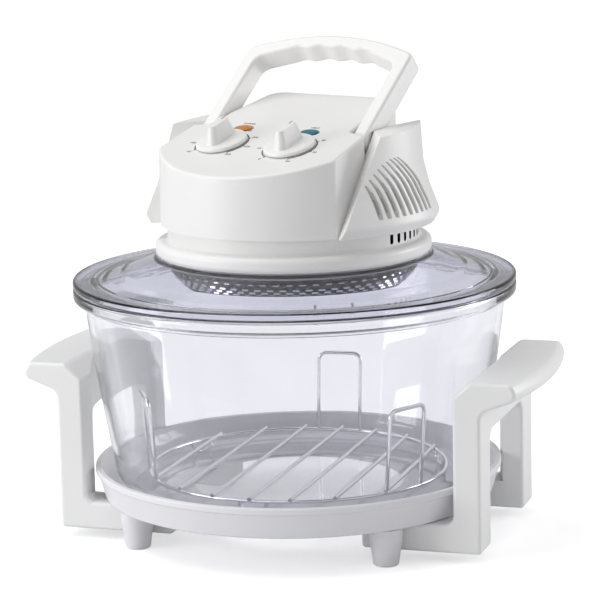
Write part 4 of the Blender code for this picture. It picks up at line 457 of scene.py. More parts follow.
def bowl_side(inset):
    """Places down the bowl's wall and round its lower corner, moved in by inset."""
    places = []
    for i in range(wall_steps + 1):
        share = i / wall_steps
        radius = neck_radius - (neck_radius - low_radius) * share ** 1.2 - inset
        places.append((radius, neck_height + (low_height - neck_height) * share))
    for i in range(1, corner_steps + 1):
        angle = math.pi / 2 * i / corner_steps
        radius = floor_radius + (low_radius - inset - floor_radius) * math.cos(angle)
        places.append((radius, low_height - (low_height - bowl_low.z - inset) * math.sin(angle)))
    return places


bowl_rim = rounded([
    (neck_radius - glass_wall, neck_height, 0),
    (neck_radius - glass_wall, bowl_high.z, 0.0018),
    (rim_radius, bowl_high.z, 0.002),
    (rim_radius, bowl_high.z - 0.0078, 0.0024),
    (neck_radius + 0.0022, bowl_high.z - 0.0092, 0.001),
    (neck_radius + 0.0016, neck_height - 0.0006, 0.001),
    (neck_radius, neck_height - 0.001, 0),
], steps=6)
bowl_outline = [(0, bowl_low.z + glass_wall)]
bowl_outline += reversed(bowl_side(glass_wall)[1:])
bowl_outline += bowl_rim
bowl_outline += bowl_side(0)[1:]
bowl_outline += [(0, bowl_low.z)]
add_piece("bowl_of_glass", spun(bowl_outline, 160), "bowl", bowl_glass, "clear_glass", "glass_bowl")


# Wire rack: chromed steel wire welded up: a ring, bars across it, three short feet and three tall
# loops to lift it by.
def bent_wire(bm, path, radius, closed=False, sides=12):
    """Carry a round section along a path of places."""
    places = [Vector(place) for place in path]
    heading = places[1] - places[0]
    section = Matrix.Translation(places[0]) @ heading.to_track_quat("Z", "Y").to_matrix().to_4x4()
    ends = bmesh.ops.create_circle(bm, segments=sides, radius=radius, matrix=section)
    ring = list({edge for vert in ends["verts"] for edge in vert.link_edges})
    first = ring
    count = len(places)
    for i in range(1, count + (1 if closed else 0)):
        here = places[i % count]
        after = places[(i + 1) % count] if closed or i < count - 1 else here + (here - places[i - 1])
        next_heading = (here - places[i - 1]).normalized() + (after - here).normalized()
        extruded = bmesh.ops.extrude_edge_only(bm, edges=ring)["geom"]
        verts = [item for item in extruded if isinstance(item, bmesh.types.BMVert)]
        swing = heading.rotation_difference(next_heading).to_matrix().to_4x4()
        move = Matrix.Translation(here) @ swing @ Matrix.Translation(-places[i - 1])
        bmesh.ops.transform(bm, matrix=move, verts=verts)
        heading = next_heading
        edges = [item for item in extruded if isinstance(item, bmesh.types.BMEdge)]
        ring = [edge for edge in edges if set(edge.verts) <= set(verts)]
    if closed:
        bmesh.ops.remove_doubles(bm, verts=bm.verts, dist=radius / 6)
    else:
        bmesh.ops.contextual_create(bm, geom=first)
        bmesh.ops.contextual_create(bm, geom=ring)
    faced(bm)


def metal(name, colour, shade, rough, scratch, stretch=(1, 1, 1), scale=160.0):
    """Bare or plated metal whose gloss and colour vary in fine streaks or clouds."""
    material, tree, shader = new_material(name)
    feed(tree, shader, {"Metallic": 1.0})
    streaks = noise(tree, {"Scale": scale, "Detail": 4.0}, stretch)
    clouded(tree, streaks, colour, shade, rough * 0.6, rough * 1.4)
    bumped(tree, streaks, scratch, 0.0002)
    return material


def around(radius, azimuth_deg, height):
    """A place by radius and azimuth; azimuth 0 is the front, 90 the right."""
    azimuth = math.radians(azimuth_deg)
    return Vector((radius * math.sin(azimuth), -radius * math.cos(azimuth), height))


chrome = metal("rack_chrome", (0.86, 0.86, 0.88), (0.7, 0.7, 0.73), 0.1, 0.02)
wire_radius = 0.0015
rack_radius = floor_radius - 0.0015
rack_height = bowl_low.z + glass_wall + 0.01
bar_height = rack_height + wire_radius * 1.3
rack = bmesh.new()
ring_steps = 96
ring_path = [around(rack_radius, 360.0 * i / ring_steps, rack_height) for i in range(ring_steps)]
bent_wire(rack, ring_path, wire_radius, closed=True)
bar_spread = 0.787
for i in range(7):
    x = rack_radius * bar_spread * (i / 3 - 1)
    half_chord = math.sqrt(rack_radius ** 2 - x ** 2) + wire_radius
    bent_wire(rack, [(x, -half_chord, bar_height), (x, half_chord, bar_height)], wire_radius)


def hoop(half_width, reach, lean, azimuth_deg):
    """An upright hoop that stands on the ring, or a foot that hangs from it where reach is negative."""
    rise = math.copysign(1, reach)
    outline = rounded([
        (-half_width, 0, 0), (-half_width, reach, wire_bend),
        (half_width, reach, wire_bend), (half_width, 0, 0),
    ], steps=6)
    turn = Matrix.Rotation(math.radians(azimuth_deg), 4, "Z")
    path = []
    for across, up in outline:
        out = math.sqrt(rack_radius ** 2 - across ** 2) + lean * up / abs(reach) * rise
        path.append(turn @ Vector((across, -out, rack_height + up)))
    bent_wire(rack, path, wire_radius)


wire_bend = 0.006
loop_half_width = 0.017
loop_height = 0.061
loop_lean = 0.0055
foot_half_width = 0.01
foot_drop = wire_radius + 0.0003 - 0.01
for azimuth_deg in (-59.0, 61.0, 181.0):
    hoop(loop_half_width, loop_height, loop_lean, azimuth_deg)
    hoop(foot_half_width, foot_drop, 0.0, azimuth_deg + 60.0)
add_piece("rack_of_wire", rack, "rack", chrome, "chromed_wire", "wire_rack")

# Glass lid: pressed glass like the bowl's, a flat rim and a low cone up to a collar, with a round
# hole in the middle that the head stands in.
# Painted shade: the lid's glass is tinted darker and bluer than the bowl's, for the shadow that the head
# casts on it.
lid_glass = glass("lid_glass", (0.6, 0.6, 0.69), 0.1)
lid_low, lid_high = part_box("glass_lid")
lid_rim_bottom = bowl_high.z + 0.0003
lid_rim_top = lid_rim_bottom + 0.0058
lid_wall = 0.0042
spigot_radius = neck_radius - glass_wall - 0.0014
cone_foot = rim_radius - 0.0125
collar_radius = 0.101
hole_radius = 0.084


def cone_places(drop):
    """Corners up the cone from its foot to the collar, lowered by drop."""
    places = []
    for in_share, rise_share, radius in ((0.25, 0.1, 0.02), (0.5, 0.34, 0.04), (0.76, 0.68, 0.04)):
        across = cone_foot + (collar_radius - cone_foot) * in_share
        places.append((across, lid_rim_top + (lid_high.z - lid_rim_top) * rise_share - drop, radius))
    return places


lid_outline = [
    (rim_radius, lid_rim_top, 0.002),
    (rim_radius, lid_rim_bottom, 0.002),
    (spigot_radius, lid_rim_bottom, 0.0004),
    (spigot_radius, lid_low.z, 0.0012),
    (spigot_radius - 0.0045, lid_low.z, 0.0012),
    (spigot_radius - 0.0048, lid_rim_top - lid_wall, 0.001),
]
lid_outline += cone_places(lid_wall)
lid_outline += [
    (collar_radius, lid_high.z - lid_wall, 0.006),
    (hole_radius, lid_high.z - lid_wall, 0.001),
    (hole_radius, lid_high.z, 0.001),
    (collar_radius, lid_high.z, 0.006),
]
lid_outline += reversed(cone_places(0))
lid_outline += [(cone_foot, lid_rim_top, 0.002)]
lid = spun(rounded(lid_outline, steps=6), 160)
add_piece("lid_of_glass", lid, "lid", lid_glass, "clear_glass", "glass_lid")

# Seals: two flat silicone rings that grip the glass collar between the head above and the
# reflector's flange below.
clear_silicone = plastic("milky_silicone", (0.74, 0.74, 0.74), (0.68, 0.68, 0.68), 0.6, 500.0)
for name in ("lid_seal_upper", "lid_seal_lower"):
    seal_low, seal_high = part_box(name)
    seal_radius = seal_high.x
    seal_bore = seal_radius - 0.006
    add_piece(name + "_ring", spun(rounded([
        (seal_radius, seal_high.z, 0.0005),
        (seal_radius, seal_low.z, 0.0005),
        (seal_bore, seal_low.z, 0.0005),
        (seal_bore, seal_high.z, 0.0005),
    ], steps=3), 96), "lid", clear_silicone, "seal_rubber", name)

# Reflector: a bright aluminium dish pressed from sheet, through the hole in the lid, with a flange
# that pulls up against the lower seal.
head_turn = math.atan2(-joints["handle_fold"]["axis"][1], -joints["handle_fold"]["axis"][0])
head_matrix = Matrix.Rotation(head_turn, 4, "Z")


def add_to_head(name, bm, *details, body="lid"):
    """Add a piece that was made in the head's own frame, turned as the head is set down on the lid."""
    bmesh.ops.transform(bm, matrix=head_matrix, verts=bm.verts)
    return add_piece(name, bm, body, *details)


bright_sheet = metal(
    "bright_pressed_sheet", (0.62, 0.61, 0.59), (0.5, 0.49, 0.47), 0.2, 0.04, (1, 1, 6), 60.0,
)
dish_low, dish_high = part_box("reflector")
sheet = 0.001
flange_radius = 0.091
dish_radius = 0.0775
dish_hole_radius = 0.008
flange_top = dish_low.z + sheet
add_to_head("reflector_dish", spun(rounded([
    (dish_radius, dish_high.z, 0.002),
    (dish_radius + 0.001, flange_top, 0.001),
    (flange_radius, flange_top, 0.0004),
    (flange_radius, dish_low.z, 0.0004),
    (dish_radius, dish_low.z, 0.0018),
    (dish_radius - sheet, dish_high.z - sheet, 0.0012),
    (dish_hole_radius, dish_high.z - sheet, 0.0003),
    (dish_hole_radius, dish_high.z, 0.0003),
], steps=4), 128), bright_sheet, "sheet_metal", "reflector")

# Fan guard: a shallow pan pressed from sheet steel, dark outside and bright inside, pierced over
# its floor and in rows round its wall, with a bare tongue over each slot. It hangs on three posts.
guard_low, guard_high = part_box("fan_guard")
guard_rim = 0.09
guard_floor = guard_low.z
pan_radius = 0.0795
pan_top_radius = 0.0888
guard_pan = spun(rounded([
    (guard_rim, guard_high.z, 0.0003),
    (guard_rim, guard_high.z - 0.0034, 0.0008),
    (pan_top_radius, guard_high.z - 0.0042, 0.0006),
    (pan_radius, guard_floor, 0.004),
    (0, guard_floor, 0),
    (0, guard_floor + sheet, 0),
    (pan_radius - 0.0004, guard_floor + sheet, 0.003),
    (pan_top_radius - sheet, guard_high.z - 0.0034, 0.0006),
    (guard_rim - sheet, guard_high.z - 0.0028, 0.0006),
    (guard_rim - sheet, guard_high.z, 0.0003),
], steps=4), 128)


def oblong(half_across, half_up, radius, steps=5):
    """A rectangle about nought with rounded corners, as an outline."""
    return rounded([
        (-half_across, -half_up, radius), (half_across, -half_up, radius),
        (half_across, half_up, radius), (-half_across, half_up, radius),
    ], steps=steps)


def ring_angles(count, first):
    """Even angles round a circle; first is the first one's share of a step."""
    return [math.tau * (i + first) / count for i in range(count)]


def spread(whole, part, angles):
    """Add a mesh to a larger one, turned about the upright axis to each of some angles."""
    mesh = bpy.data.meshes.new("spread")
    for angle in angles:
        copy = turned(part.copy(), angle, "Z")
        copy.to_mesh(mesh)
        copy.free()
        whole.from_mesh(mesh)
    part.free()
    bpy.data.meshes.remove(mesh)


def refinished(piece, material, chosen):
    """Give another finish to the faces of a piece that a rule picks out."""
    piece.data.materials.append(material)
    for face in piece.data.polygons:
        if chosen(face):
            face.material_index = len(piece.data.materials) - 1


nearly_round = 0.98
hole_half_length = 0.0034
hole_half_width = 0.0013
hole_spacing = 0.0112
first_hole_radius = 0.0125
hole_row_step = 0.0098
guard_cutters = bmesh.new()
for row in range(7):
    row_radius = first_hole_radius + hole_row_step * row
    hole_outline = oblong(hole_half_length, hole_half_width, hole_half_width * nearly_round, steps=2)
    hole = shifted(slab(hole_outline, guard_floor - 0.002, guard_floor + 0.004), (0, -row_radius, 0))
    spread(guard_cutters, hole, ring_angles(int(math.tau * row_radius / hole_spacing), row % 2 / 2))
slots_in_row = 60
slot_half_length = 0.0024
slot_half_height = 0.0007
slot_depth = 0.0035
wall_rise = 0.0108
tongues = bmesh.new()
for row, rise in enumerate((0.0046, 0.0069, 0.0092, 0.0133)):
    wall_radius = pan_radius + (pan_top_radius - pan_radius) * min(rise / wall_rise, 1.0)
    slot_angles = ring_angles(slots_in_row, row % 2 / 2)
    slot_outline = oblong(slot_half_length, slot_half_height, slot_half_height * nearly_round, steps=2)
    slot = slab(slot_outline, -wall_radius - slot_depth, -wall_radius + slot_depth, "Y")
    spread(guard_cutters, shifted(slot, (0, 0, guard_floor + rise)), slot_angles)
    root = guard_floor + rise + slot_half_height
    spread(tongues, slab([
        (-wall_radius - 0.0002, root + 0.0003), (-wall_radius - 0.0008, root - 0.0013),
        (-wall_radius - 0.0005, root - 0.0014), (-wall_radius + 0.0003, root + 0.0002),
    ], -slot_half_length, slot_half_length, "X"), slot_angles)
guard_steel = metal(
    "guard_steel", (0.13, 0.125, 0.12), (0.085, 0.08, 0.075), 0.3, 0.05, scale=220.0,
)
guard = carved(guard_pan, [guard_cutters], solver="MANIFOLD")
guard = add_to_head("fan_guard_pierced", guard, guard_steel, "sheet_metal", "fan_guard")
refinished(guard, bright_sheet, lambda face: (
    face.normal.dot(Vector((*face.center.xy, 0)).normalized()) < 0.1 and face.normal.z > -0.3
))
add_to_head("guard_slot_tongues", tongues, chrome, "sheet_metal")

# Halogen lamp: a ring of quartz tube whose ends turn up into two ceramic holders, with a fine
# tungsten coil carried along its middle.
quartz = glass("quartz_tube", (0.93, 0.92, 0.88), 0.03)
tungsten = metal("tungsten_coil", (0.4, 0.38, 0.36), (0.3, 0.28, 0.27), 0.35, 0.02)
lamp_low, lamp_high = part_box("halogen_lamp")
lamp_radius = 0.056
tube_radius = 0.004
lamp_height = lamp_low.z + tube_radius
lamp_gap_deg = 22.0
lamp_steps = 64
lamp_path = [
    around(lamp_radius, 180 + lamp_gap_deg + (360 - 2 * lamp_gap_deg) * i / lamp_steps, lamp_height)
    for i in range(lamp_steps + 1)
]
end_turn_deg = math.degrees(0.006 / lamp_radius)
lamp_end = (
    (1.0, lamp_high.z), (1.0, lamp_height + 0.006),
    (0.75, lamp_height + 0.0024), (0.33, lamp_height + 0.0006),
)
for side in (1, -1):
    bend_places = [
        around(lamp_radius, 180 + side * (lamp_gap_deg - end_turn_deg * share), height)
        for share, height in lamp_end
    ]
    lamp_path = bend_places + lamp_path if side > 0 else lamp_path + bend_places[::-1]
lamp_tube = bmesh.new()
bent_wire(lamp_tube, lamp_path, tube_radius, sides=16)
add_to_head("lamp_quartz_ring", lamp_tube, quartz, "lamp_quartz", "halogen_lamp")
coil = bmesh.new()
coil_radius = 0.0012
coil_wire_radius = 0.00022
coil_steps = 900
coil_path = []
for i in range(coil_steps + 1):
    out = coil_radius * math.cos(i * 1.1)
    up = coil_radius * math.sin(i * 1.1)
    coil_path.append(around(lamp_radius + out, 205.0 + 310.0 * i / coil_steps, lamp_height + up))
bent_wire(coil, coil_path, coil_wire_radius, sides=5)
add_to_head("lamp_coil", coil, tungsten, "motor_steel")

# Head lower cover: a white plastic pan whose inside is coloured dark steel as painted shade, turned out at
# its foot into a round flange over the glass collar, with a row of cooling slots through its neck on each
# side.
white_head = plastic("white_head_plastic", (0.87, 0.865, 0.86), (0.84, 0.835, 0.83), 0.35)
cover_low, cover_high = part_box("head_lower_cover")
cover_bottom = lid_high.z + 0.0022
flange_radius = 0.1015
cover_neck = 0.0925
cover_wall = 0.0025
cover_inner = cover_neck + cover_wall + 0.0003
motor_opening = 0.014
flange_top = cover_low.z + 0.0108
cover = spun(rounded([
    (cover_neck, cover_high.z, 0.0004),
    (cover_neck, flange_top + 0.0012, 0.001),
    (cover_neck + 0.0016, flange_top, 0.0006),
    (flange_radius, flange_top, 0.0042),
    (flange_radius, cover_low.z, 0.0034),
    (flange_radius - cover_wall, cover_low.z, 0.0006),
    (flange_radius - cover_wall, flange_top - cover_wall, 0.002),
    (cover_inner, flange_top - cover_wall, 0.0004),
    (cover_inner, cover_bottom, 0.0006),
    (motor_opening, cover_bottom, 0.0004),
    (motor_opening, cover_bottom + cover_wall, 0.0004),
    (cover_neck - cover_wall, cover_bottom + cover_wall, 0.001),
    (cover_neck - cover_wall, cover_high.z, 0.0004),
]), 160)
vent_half_width = 0.0018
vent_bottom = cover_bottom + 0.0113
vent_top = cover_bottom + 0.0199
vent = slab(rounded([
    (-vent_half_width, vent_bottom, 0.00175), (vent_half_width, vent_bottom, 0.00175),
    (vent_half_width, vent_top, 0.0006), (-vent_half_width, vent_top, 0.0006),
], steps=4), -cover_neck - 0.004, -cover_neck + cover_wall + 0.004, "Y")
first_vent_deg = 84.5
vent_step_deg = 5.4
vents = bmesh.new()
spread(vents, vent, [
    math.radians(side * (first_vent_deg + vent_step_deg * i)) for side in (1, -1) for i in range(7)
])
cover = carved(cover, [vents], solver="MANIFOLD")
cover = add_to_head("cover_with_flange", cover, white_head, "white_plastic", "head_lower_cover")
painted_shade_radius = cover_neck - 0.0003
painted_shade_bottom = cover_bottom + 0.001
# Painted shade: the faces inside the neck take the dark guard steel, so that the vents and the inside look
# dark.
refinished(
    cover, guard_steel, lambda face: face.center.xy.length < painted_shade_radius and face.center.z > painted_shade_bottom,
)

# Head housing: one white plastic moulding over the motor and the controls: a block with a curved
# front and a sloping panel between two cheeks, each with nine bowed louvres whose insides carry painted
# shade, darker towards their floors.
head_low, head_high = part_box("head_housing")
head_base = head_low.z
panel_slope = math.radians(17.0)
panel_back_slope = math.radians(11.0)
panel_y = -0.0443
panel_z = head_base + 0.0601
panel_knee_y = 0.006
panel_knee_z = panel_z + (panel_knee_y - panel_y) * math.tan(panel_slope)
pivot = head_matrix.inverted() @ Vector(joints["handle_fold"]["pos_m"])
groove_side = 0.074
groove_floor = pivot.z - 0.0095
front_radius = 0.097
front_half = 0.078
front_steps = 24
waist_x, waist_y = 0.0605, -0.0126
back_x, back_y = 0.057, 0.06
cheek_height = 0.071
cheek_outline = (
    (0.104, 0.0, 0.0), (0.1078, 0.0065, 0.004), (0.1005, 0.026, 0.024),
    (0.0963, 0.043, 0.03), (0.0944, cheek_height, 0.0),
)
cheek_front = Vector((0.067, 0.067, -0.048)).normalized()
cheek_front_foot = Vector((0.079, -0.057, head_base))
cheek_top = Vector((0.03, -0.05, 1)).normalized()
beyond = 0.12
housing_wall = 0.0025


def cut_off(bm, place, normal):
    """Take away what lies beyond a plane and close the cut."""
    everything = [*bm.verts, *bm.edges, *bm.faces]
    cut = bmesh.ops.bisect_plane(
        bm, geom=everything, dist=merge_distance, plane_co=place, plane_no=normal, clear_outer=True,
    )["geom_cut"]
    bmesh.ops.holes_fill(bm, edges=[item for item in cut if isinstance(item, bmesh.types.BMEdge)], sides=0)
    faced(bm)


def head_block(inset):
    """The block between the cheeks, moved in by inset."""
    radius = front_radius - inset
    half = front_half - inset
    span = math.asin(half / radius)
    corners = []
    for i in range(front_steps + 1):
        azimuth = span * (2 * i / front_steps - 1)
        round_off = max(0.005 - inset, 0.0004) if i in (0, front_steps) else 0.0
        corners.append((radius * math.sin(azimuth), -radius * math.cos(azimuth), round_off))
    flank = [
        (0.076 - inset, -0.017 - inset, 0.002), (waist_x - inset, waist_y - inset, 0.0),
        (back_x - inset, back_y - inset, 0.012 - inset),
    ]
    corners += flank + [(-x, y, round_off) for x, y, round_off in reversed(flank)]
    block = slab(rounded(corners, steps=6), head_base + inset, head_high.z + 0.01)
    for slope, y, z in (
        (panel_slope, panel_y, panel_z), (panel_back_slope, panel_knee_y, panel_knee_z),
    ):
        normal = Vector((0, -math.sin(slope), math.cos(slope)))
        cut_off(block, Vector((0, y, z)) - normal * inset, normal)
    return block


def head_cheek(inset, side):
    """One cheek with its half of the back wall, moved in by inset."""
    outline = [(0, head_base + inset, 0)]
    outline += [
        (radius - 1.6 * inset, head_base + min(max(rise, inset), cheek_height - inset), round_off)
        for radius, rise, round_off in cheek_outline
    ]
    outline += [(0, head_base + cheek_height - inset, 0)]
    cheek = spun(rounded(outline, steps=6), 128)
    cut_off(cheek, Vector((-0.005, 0, 0)), Vector((-1, 0, 0)))
    cut_off(cheek, cheek_front_foot + cheek_front * inset, -cheek_front)
    cut_off(cheek, Vector((groove_side, 0, head_base + 0.0698)) - cheek_top * inset, cheek_top)
    edge = groove_side + inset
    deck_outline = [(-beyond, -beyond), (edge, -beyond), (edge, beyond), (-beyond, beyond)]
    deck = slab(deck_outline, groove_floor - inset, head_high.z + 0.02)
    cheek = carved(cheek, [deck], bevel=0.0 if inset else 0.0022, bevel_deg=38.0)
    bmesh.ops.scale(cheek, vec=(side, 1, 1), verts=cheek.verts)
    return faced(cheek)


def cheek_radius(rise):
    """The cheek's outer radius at a height above the housing's foot."""
    for (low_radius, low_rise, _), (high_radius, high_rise, _) in zip(cheek_outline, cheek_outline[1:]):
        if rise <= high_rise:
            break
    return low_radius + (high_radius - low_radius) * (rise - low_rise) / (high_rise - low_rise)


block = head_block(0)
top_edges = []
for edge in block.edges:
    tilts = sorted(abs(face.normal.z) for face in edge.link_faces)
    if len(tilts) == 2 and tilts[0] < 0.3 and tilts[1] > 0.8 and edge.verts[0].co.z > head_base + 0.01:
        top_edges.append(edge)
bmesh.ops.bevel(
    block, geom=top_edges, offset=0.0038, segments=4, profile=0.5, affect="EDGES", material=-1,
    clamp_overlap=True,
)
louvre_count = 9
louvre_steps = 14
louvre_foot = 0.0118
louvre_first_deg = 71.5
louvre_step_deg = 4.2
louvre_section = (
    (0.0008, -1.95), (-0.0034, -1.8), (-0.0034, 0.0), (-0.0024, 0.75), (-0.0012, 1.3), (0.0008, 1.85),
)
louvres = []
for side in (1, -1):
    for i in range(louvre_count):
        top_rise = 0.036 + 0.0165 * math.sin(math.pi / 2 * min(i / 7, 1))
        outlines = []
        for step in range(louvre_steps + 1):
            share = step / louvre_steps
            rise = louvre_foot + (top_rise - louvre_foot) * share
            reach = cheek_radius(rise)
            azimuth_deg = louvre_first_deg + louvre_step_deg * i - (4.5 + 1.7 * i) * share ** 2.4
            size = (1 - 0.38 * share) * math.sin(math.pi * (0.04 + 0.92 * share)) ** 0.25
            outlines.append([
                around(reach + out * size, side * (azimuth_deg + wide_deg * size), head_base + rise)
                for out, wide_deg in louvre_section
            ])
        louvres.append(lofted(outlines))
cheeks = carved(head_cheek(0, 1), [head_cheek(0, -1)], operation="UNION")
shell = carved(block, [cheeks], operation="UNION")
inside_cheeks = [head_cheek(housing_wall, 1), head_cheek(housing_wall, -1)]
inside = carved(head_block(housing_wall), inside_cheeks, operation="UNION")
opening_bottom = head_base - 0.004
opening_top = head_base + housing_wall + 0.0003
opening_radius = 0.0903
foot_opening = spun([
    (0, opening_bottom), (opening_radius, opening_bottom), (opening_radius, opening_top), (0, opening_top),
], 96)
housing = carved(shell, [*louvres, inside, foot_opening])
housing = add_to_head("housing_with_panel", housing, white_head, "white_plastic", "head_housing", 30.0)
slope_top, floor_top, floor_bottom = 0.0011, 0.0023, 0.0037
louvre_low, louvre_high = 0.011, 0.054
louvre_side_share = 0.906


def louvre_depth(face):
    """How far a face lies under the cheek's surface, or nought away from the louvres."""
    place = head_matrix.inverted() @ face.center
    radius = place.xy.length
    rise = place.z - head_base
    beside = abs(place.x) > louvre_side_share * radius and louvre_low < rise < louvre_high
    return cheek_radius(rise) - radius if beside else 0.0


# Painted shade: the louvres' sloping walls are coloured mid grey and their floors darker grey, for the shade
# deep in the grooves.
louvre_slope_painted_shade = plastic("louvre_slope_painted_shade", (0.6, 0.595, 0.59), (0.57, 0.565, 0.56), 0.45)
louvre_floor_painted_shade = plastic("louvre_floor_painted_shade", (0.41, 0.405, 0.4), (0.38, 0.375, 0.37), 0.5)
refinished(housing, louvre_slope_painted_shade, lambda face: slope_top < louvre_depth(face) <= floor_top)
refinished(housing, louvre_floor_painted_shade, lambda face: floor_top < louvre_depth(face) < floor_bottom)


# Dial scales: a fine dark line round each knob, ticks and numbers, printed on the panel. The left
# dial sets the temperature, the right one is a sixty minute timer.
def on_panel(bm, across, along, lift=0.0):
    """Lay a flat mesh on the sloping panel, in the head's frame, a little above its face."""
    normal = Vector((0, -math.sin(panel_slope), math.cos(panel_slope)))
    up_slope = (along - panel_y) * math.tan(panel_slope)
    place = Vector((across, along, panel_z + up_slope))
    return shifted(turned(bm, panel_slope, "X"), place + normal * lift)


def lettering(bm, words, size, middle):
    """Set printed figures into a flat mesh, each centred on its middle."""
    text = bpy.data.curves.new("print", "FONT")
    text.body = words
    text.size = size
    text.align_x = "CENTER"
    text.align_y = "CENTER"
    text.resolution_u = 2
    text.extrude = 0.00004
    holder = new_object("print", text)
    mesh = finished_mesh(holder)
    mesh.transform(Matrix.Translation((*middle, 0)))
    bm.from_mesh(mesh)
    bpy.data.objects.remove(holder, do_unlink=True)


def line_arc(bm, radius, width, first_deg, last_deg):
    """A printed line along an arc, as a thin flat strip."""
    steps = max(2, int(abs(last_deg - first_deg) / 6))
    start = math.radians(first_deg)
    corners = [
        bm.verts.new((reach * math.cos(start), reach * math.sin(start), height))
        for reach, height in ((radius, 0), (radius + width, 0), (radius + width, ink), (radius, ink))
    ]
    bmesh.ops.spin(
        bm, geom=[bm.faces.new(corners)], axis=(0, 0, 1), angle=math.radians(last_deg - first_deg),
        steps=steps,
    )


ink = 0.00005
ink_lift = 0.00006
line_width = 0.0009
figure_radius = 0.0246
figure_size = 0.0034
caption_size = 0.003
print_ink = plastic("printed_ink", (0.045, 0.045, 0.05), (0.03, 0.03, 0.035), 0.55, 300.0)
skirt_radius = 0.019
dial_across = 0.03
lens_across = 0.0292
lens_along = -0.0186
for name, side, span_deg, figures, word in (
    ("thermostat", -1, 270.0, ("65", "100", "125", "150", "175", "200", "225", "250"), "POWER"),
    ("timer", 1, 300.0, ("0", "10", "20", "30", "40", "50", "60"), "HEAT"),
):
    scale = bmesh.new()
    line_arc(scale, skirt_radius + 0.0005, line_width, 90.0 - span_deg / 2, 90.0 + span_deg / 2)
    for i, figure in enumerate(figures):
        angle_deg = 90.0 + span_deg * (0.5 - i / (len(figures) - 1))
        angle = math.radians(angle_deg)
        middle = (figure_radius * math.cos(angle), figure_radius * math.sin(angle))
        lettering(scale, figure, figure_size, middle)
        line_arc(scale, skirt_radius + 0.001, 0.0018, angle_deg - 0.7, angle_deg + 0.7)
    on_panel(faced(scale), side * dial_across, panel_y, ink_lift)
    add_to_head(name + "_scale", scale, print_ink, "control_plastic")
    caption = bmesh.new()
    line_arc(caption, 0.0078, 0.0005, 0.0, 360.0)
    bmesh.ops.scale(caption, vec=(1, 0.66, 1), verts=caption.verts)
    lettering(caption, word, caption_size, (0, 0.0082))
    on_panel(faced(caption), side * lens_across, lens_along, ink_lift)
    add_to_head(name + "_caption", caption, print_ink, "control_plastic")

# Knobs: white plastic, a thin round skirt with a tall finger ridge across it, pushed on to the
# stems of the thermostat and the timer.
ridge_ink = plastic("pointer_ink", (0.1, 0.1, 0.11), (0.07, 0.07, 0.08), 0.45, 300.0)
skirt_foot = 0.0008
stem_radius = 0.004
stem_end = -0.0088
ridge_foot = 0.002
ridge_top = 0.0168
ridge_taper_shares = (0.6, 0.66, 1)
for name, side in (("thermostat", -1), ("timer", 1)):
    skirt = spun(rounded([
        (0, 0.004, 0),
        (0.015, 0.004, 0.006),
        (0.0184, 0.0034, 0.001),
        (skirt_radius, 0.0022, 0.001),
        (skirt_radius, skirt_foot, 0.0003),
        (stem_radius, skirt_foot, 0),
        (stem_radius, stem_end, 0.0003),
        (0, stem_end, 0),
    ], steps=4), 96)
    ridge = slab(oblong(0.0055, 0.015, 0.005, steps=6), ridge_foot, ridge_top)
    top_verts = [vert for vert in ridge.verts if vert.co.z > ridge_foot * 2]
    bmesh.ops.scale(ridge, vec=ridge_taper_shares, verts=top_verts)
    knob = carved(skirt, [ridge], bevel=0.0024, bevel_deg=40.0, segments=4, operation="UNION")
    on_panel(knob, side * dial_across, panel_y)
    knob_name = name + "_knob"
    add_to_head(knob_name + "_moulded", knob, white_head, "white_plastic", knob_name, 40.0, body=name)
    pointer = slab(rounded([
        (-0.0004, 0.005, 0), (0.0004, 0.005, 0), (0.0004, 0.0092, 0), (-0.0004, 0.0092, 0),
    ]), ridge_top - 0.0001, ridge_top + ink)
    on_panel(pointer, side * dial_across, panel_y)
    add_to_head(name + "_pointer", pointer, ridge_ink, "control_plastic", body=name)

# Lenses: two oval plastic lenses over the neon lamps, amber for power and teal for the heat,
# pressed through the panel.
lens_radius = 0.0063
lens_end = -0.01
for name, slot_name, side, colour, shade in (
    ("power_lens", "amber_lens", -1, (0.62, 0.24, 0.012), (0.48, 0.17, 0.008)),
    ("heat_lens", "teal_lens", 1, (0.001, 0.17, 0.24), (0.001, 0.12, 0.17)),
):
    glow = plastic(name + "_plastic", colour, shade, 0.14, 400.0)
    lens = spun(rounded([
        (0, 0.0012, 0), (0.005, 0.0011, 0.01), (0.0072, 0.0007, 0.0008), (0.0075, 0.0003, 0),
        (lens_radius, 0.0003, 0), (lens_radius, lens_end, 0.0004), (0, lens_end, 0),
    ], steps=4), 64)
    bmesh.ops.scale(lens, vec=(1, 0.64, 1), verts=lens.verts)
    on_panel(lens, side * lens_across, lens_along)
    add_to_head(name + "_oval", lens, glow, slot_name, name)

# Carry handle: a thick arch of white plastic, its bar scalloped underneath for four fingers, that
# leans back and folds on two steel pins through its arms.
lean = math.radians(50.0)
half_width = 0.073
arm_width = 0.0115
depth = 0.017
top_reach = 0.0935
shoulder_reach = 0.0785
bar_thickness = 0.0125
arm_foot = -0.0085
scallop_depth = 0.0022
scallop_pitch = 0.02
half_steps = 12


def arch_outer(x):
    """The arch's outer edge, as its distance from the pivot."""
    return top_reach - (top_reach - shoulder_reach) * (x / half_width) ** 2


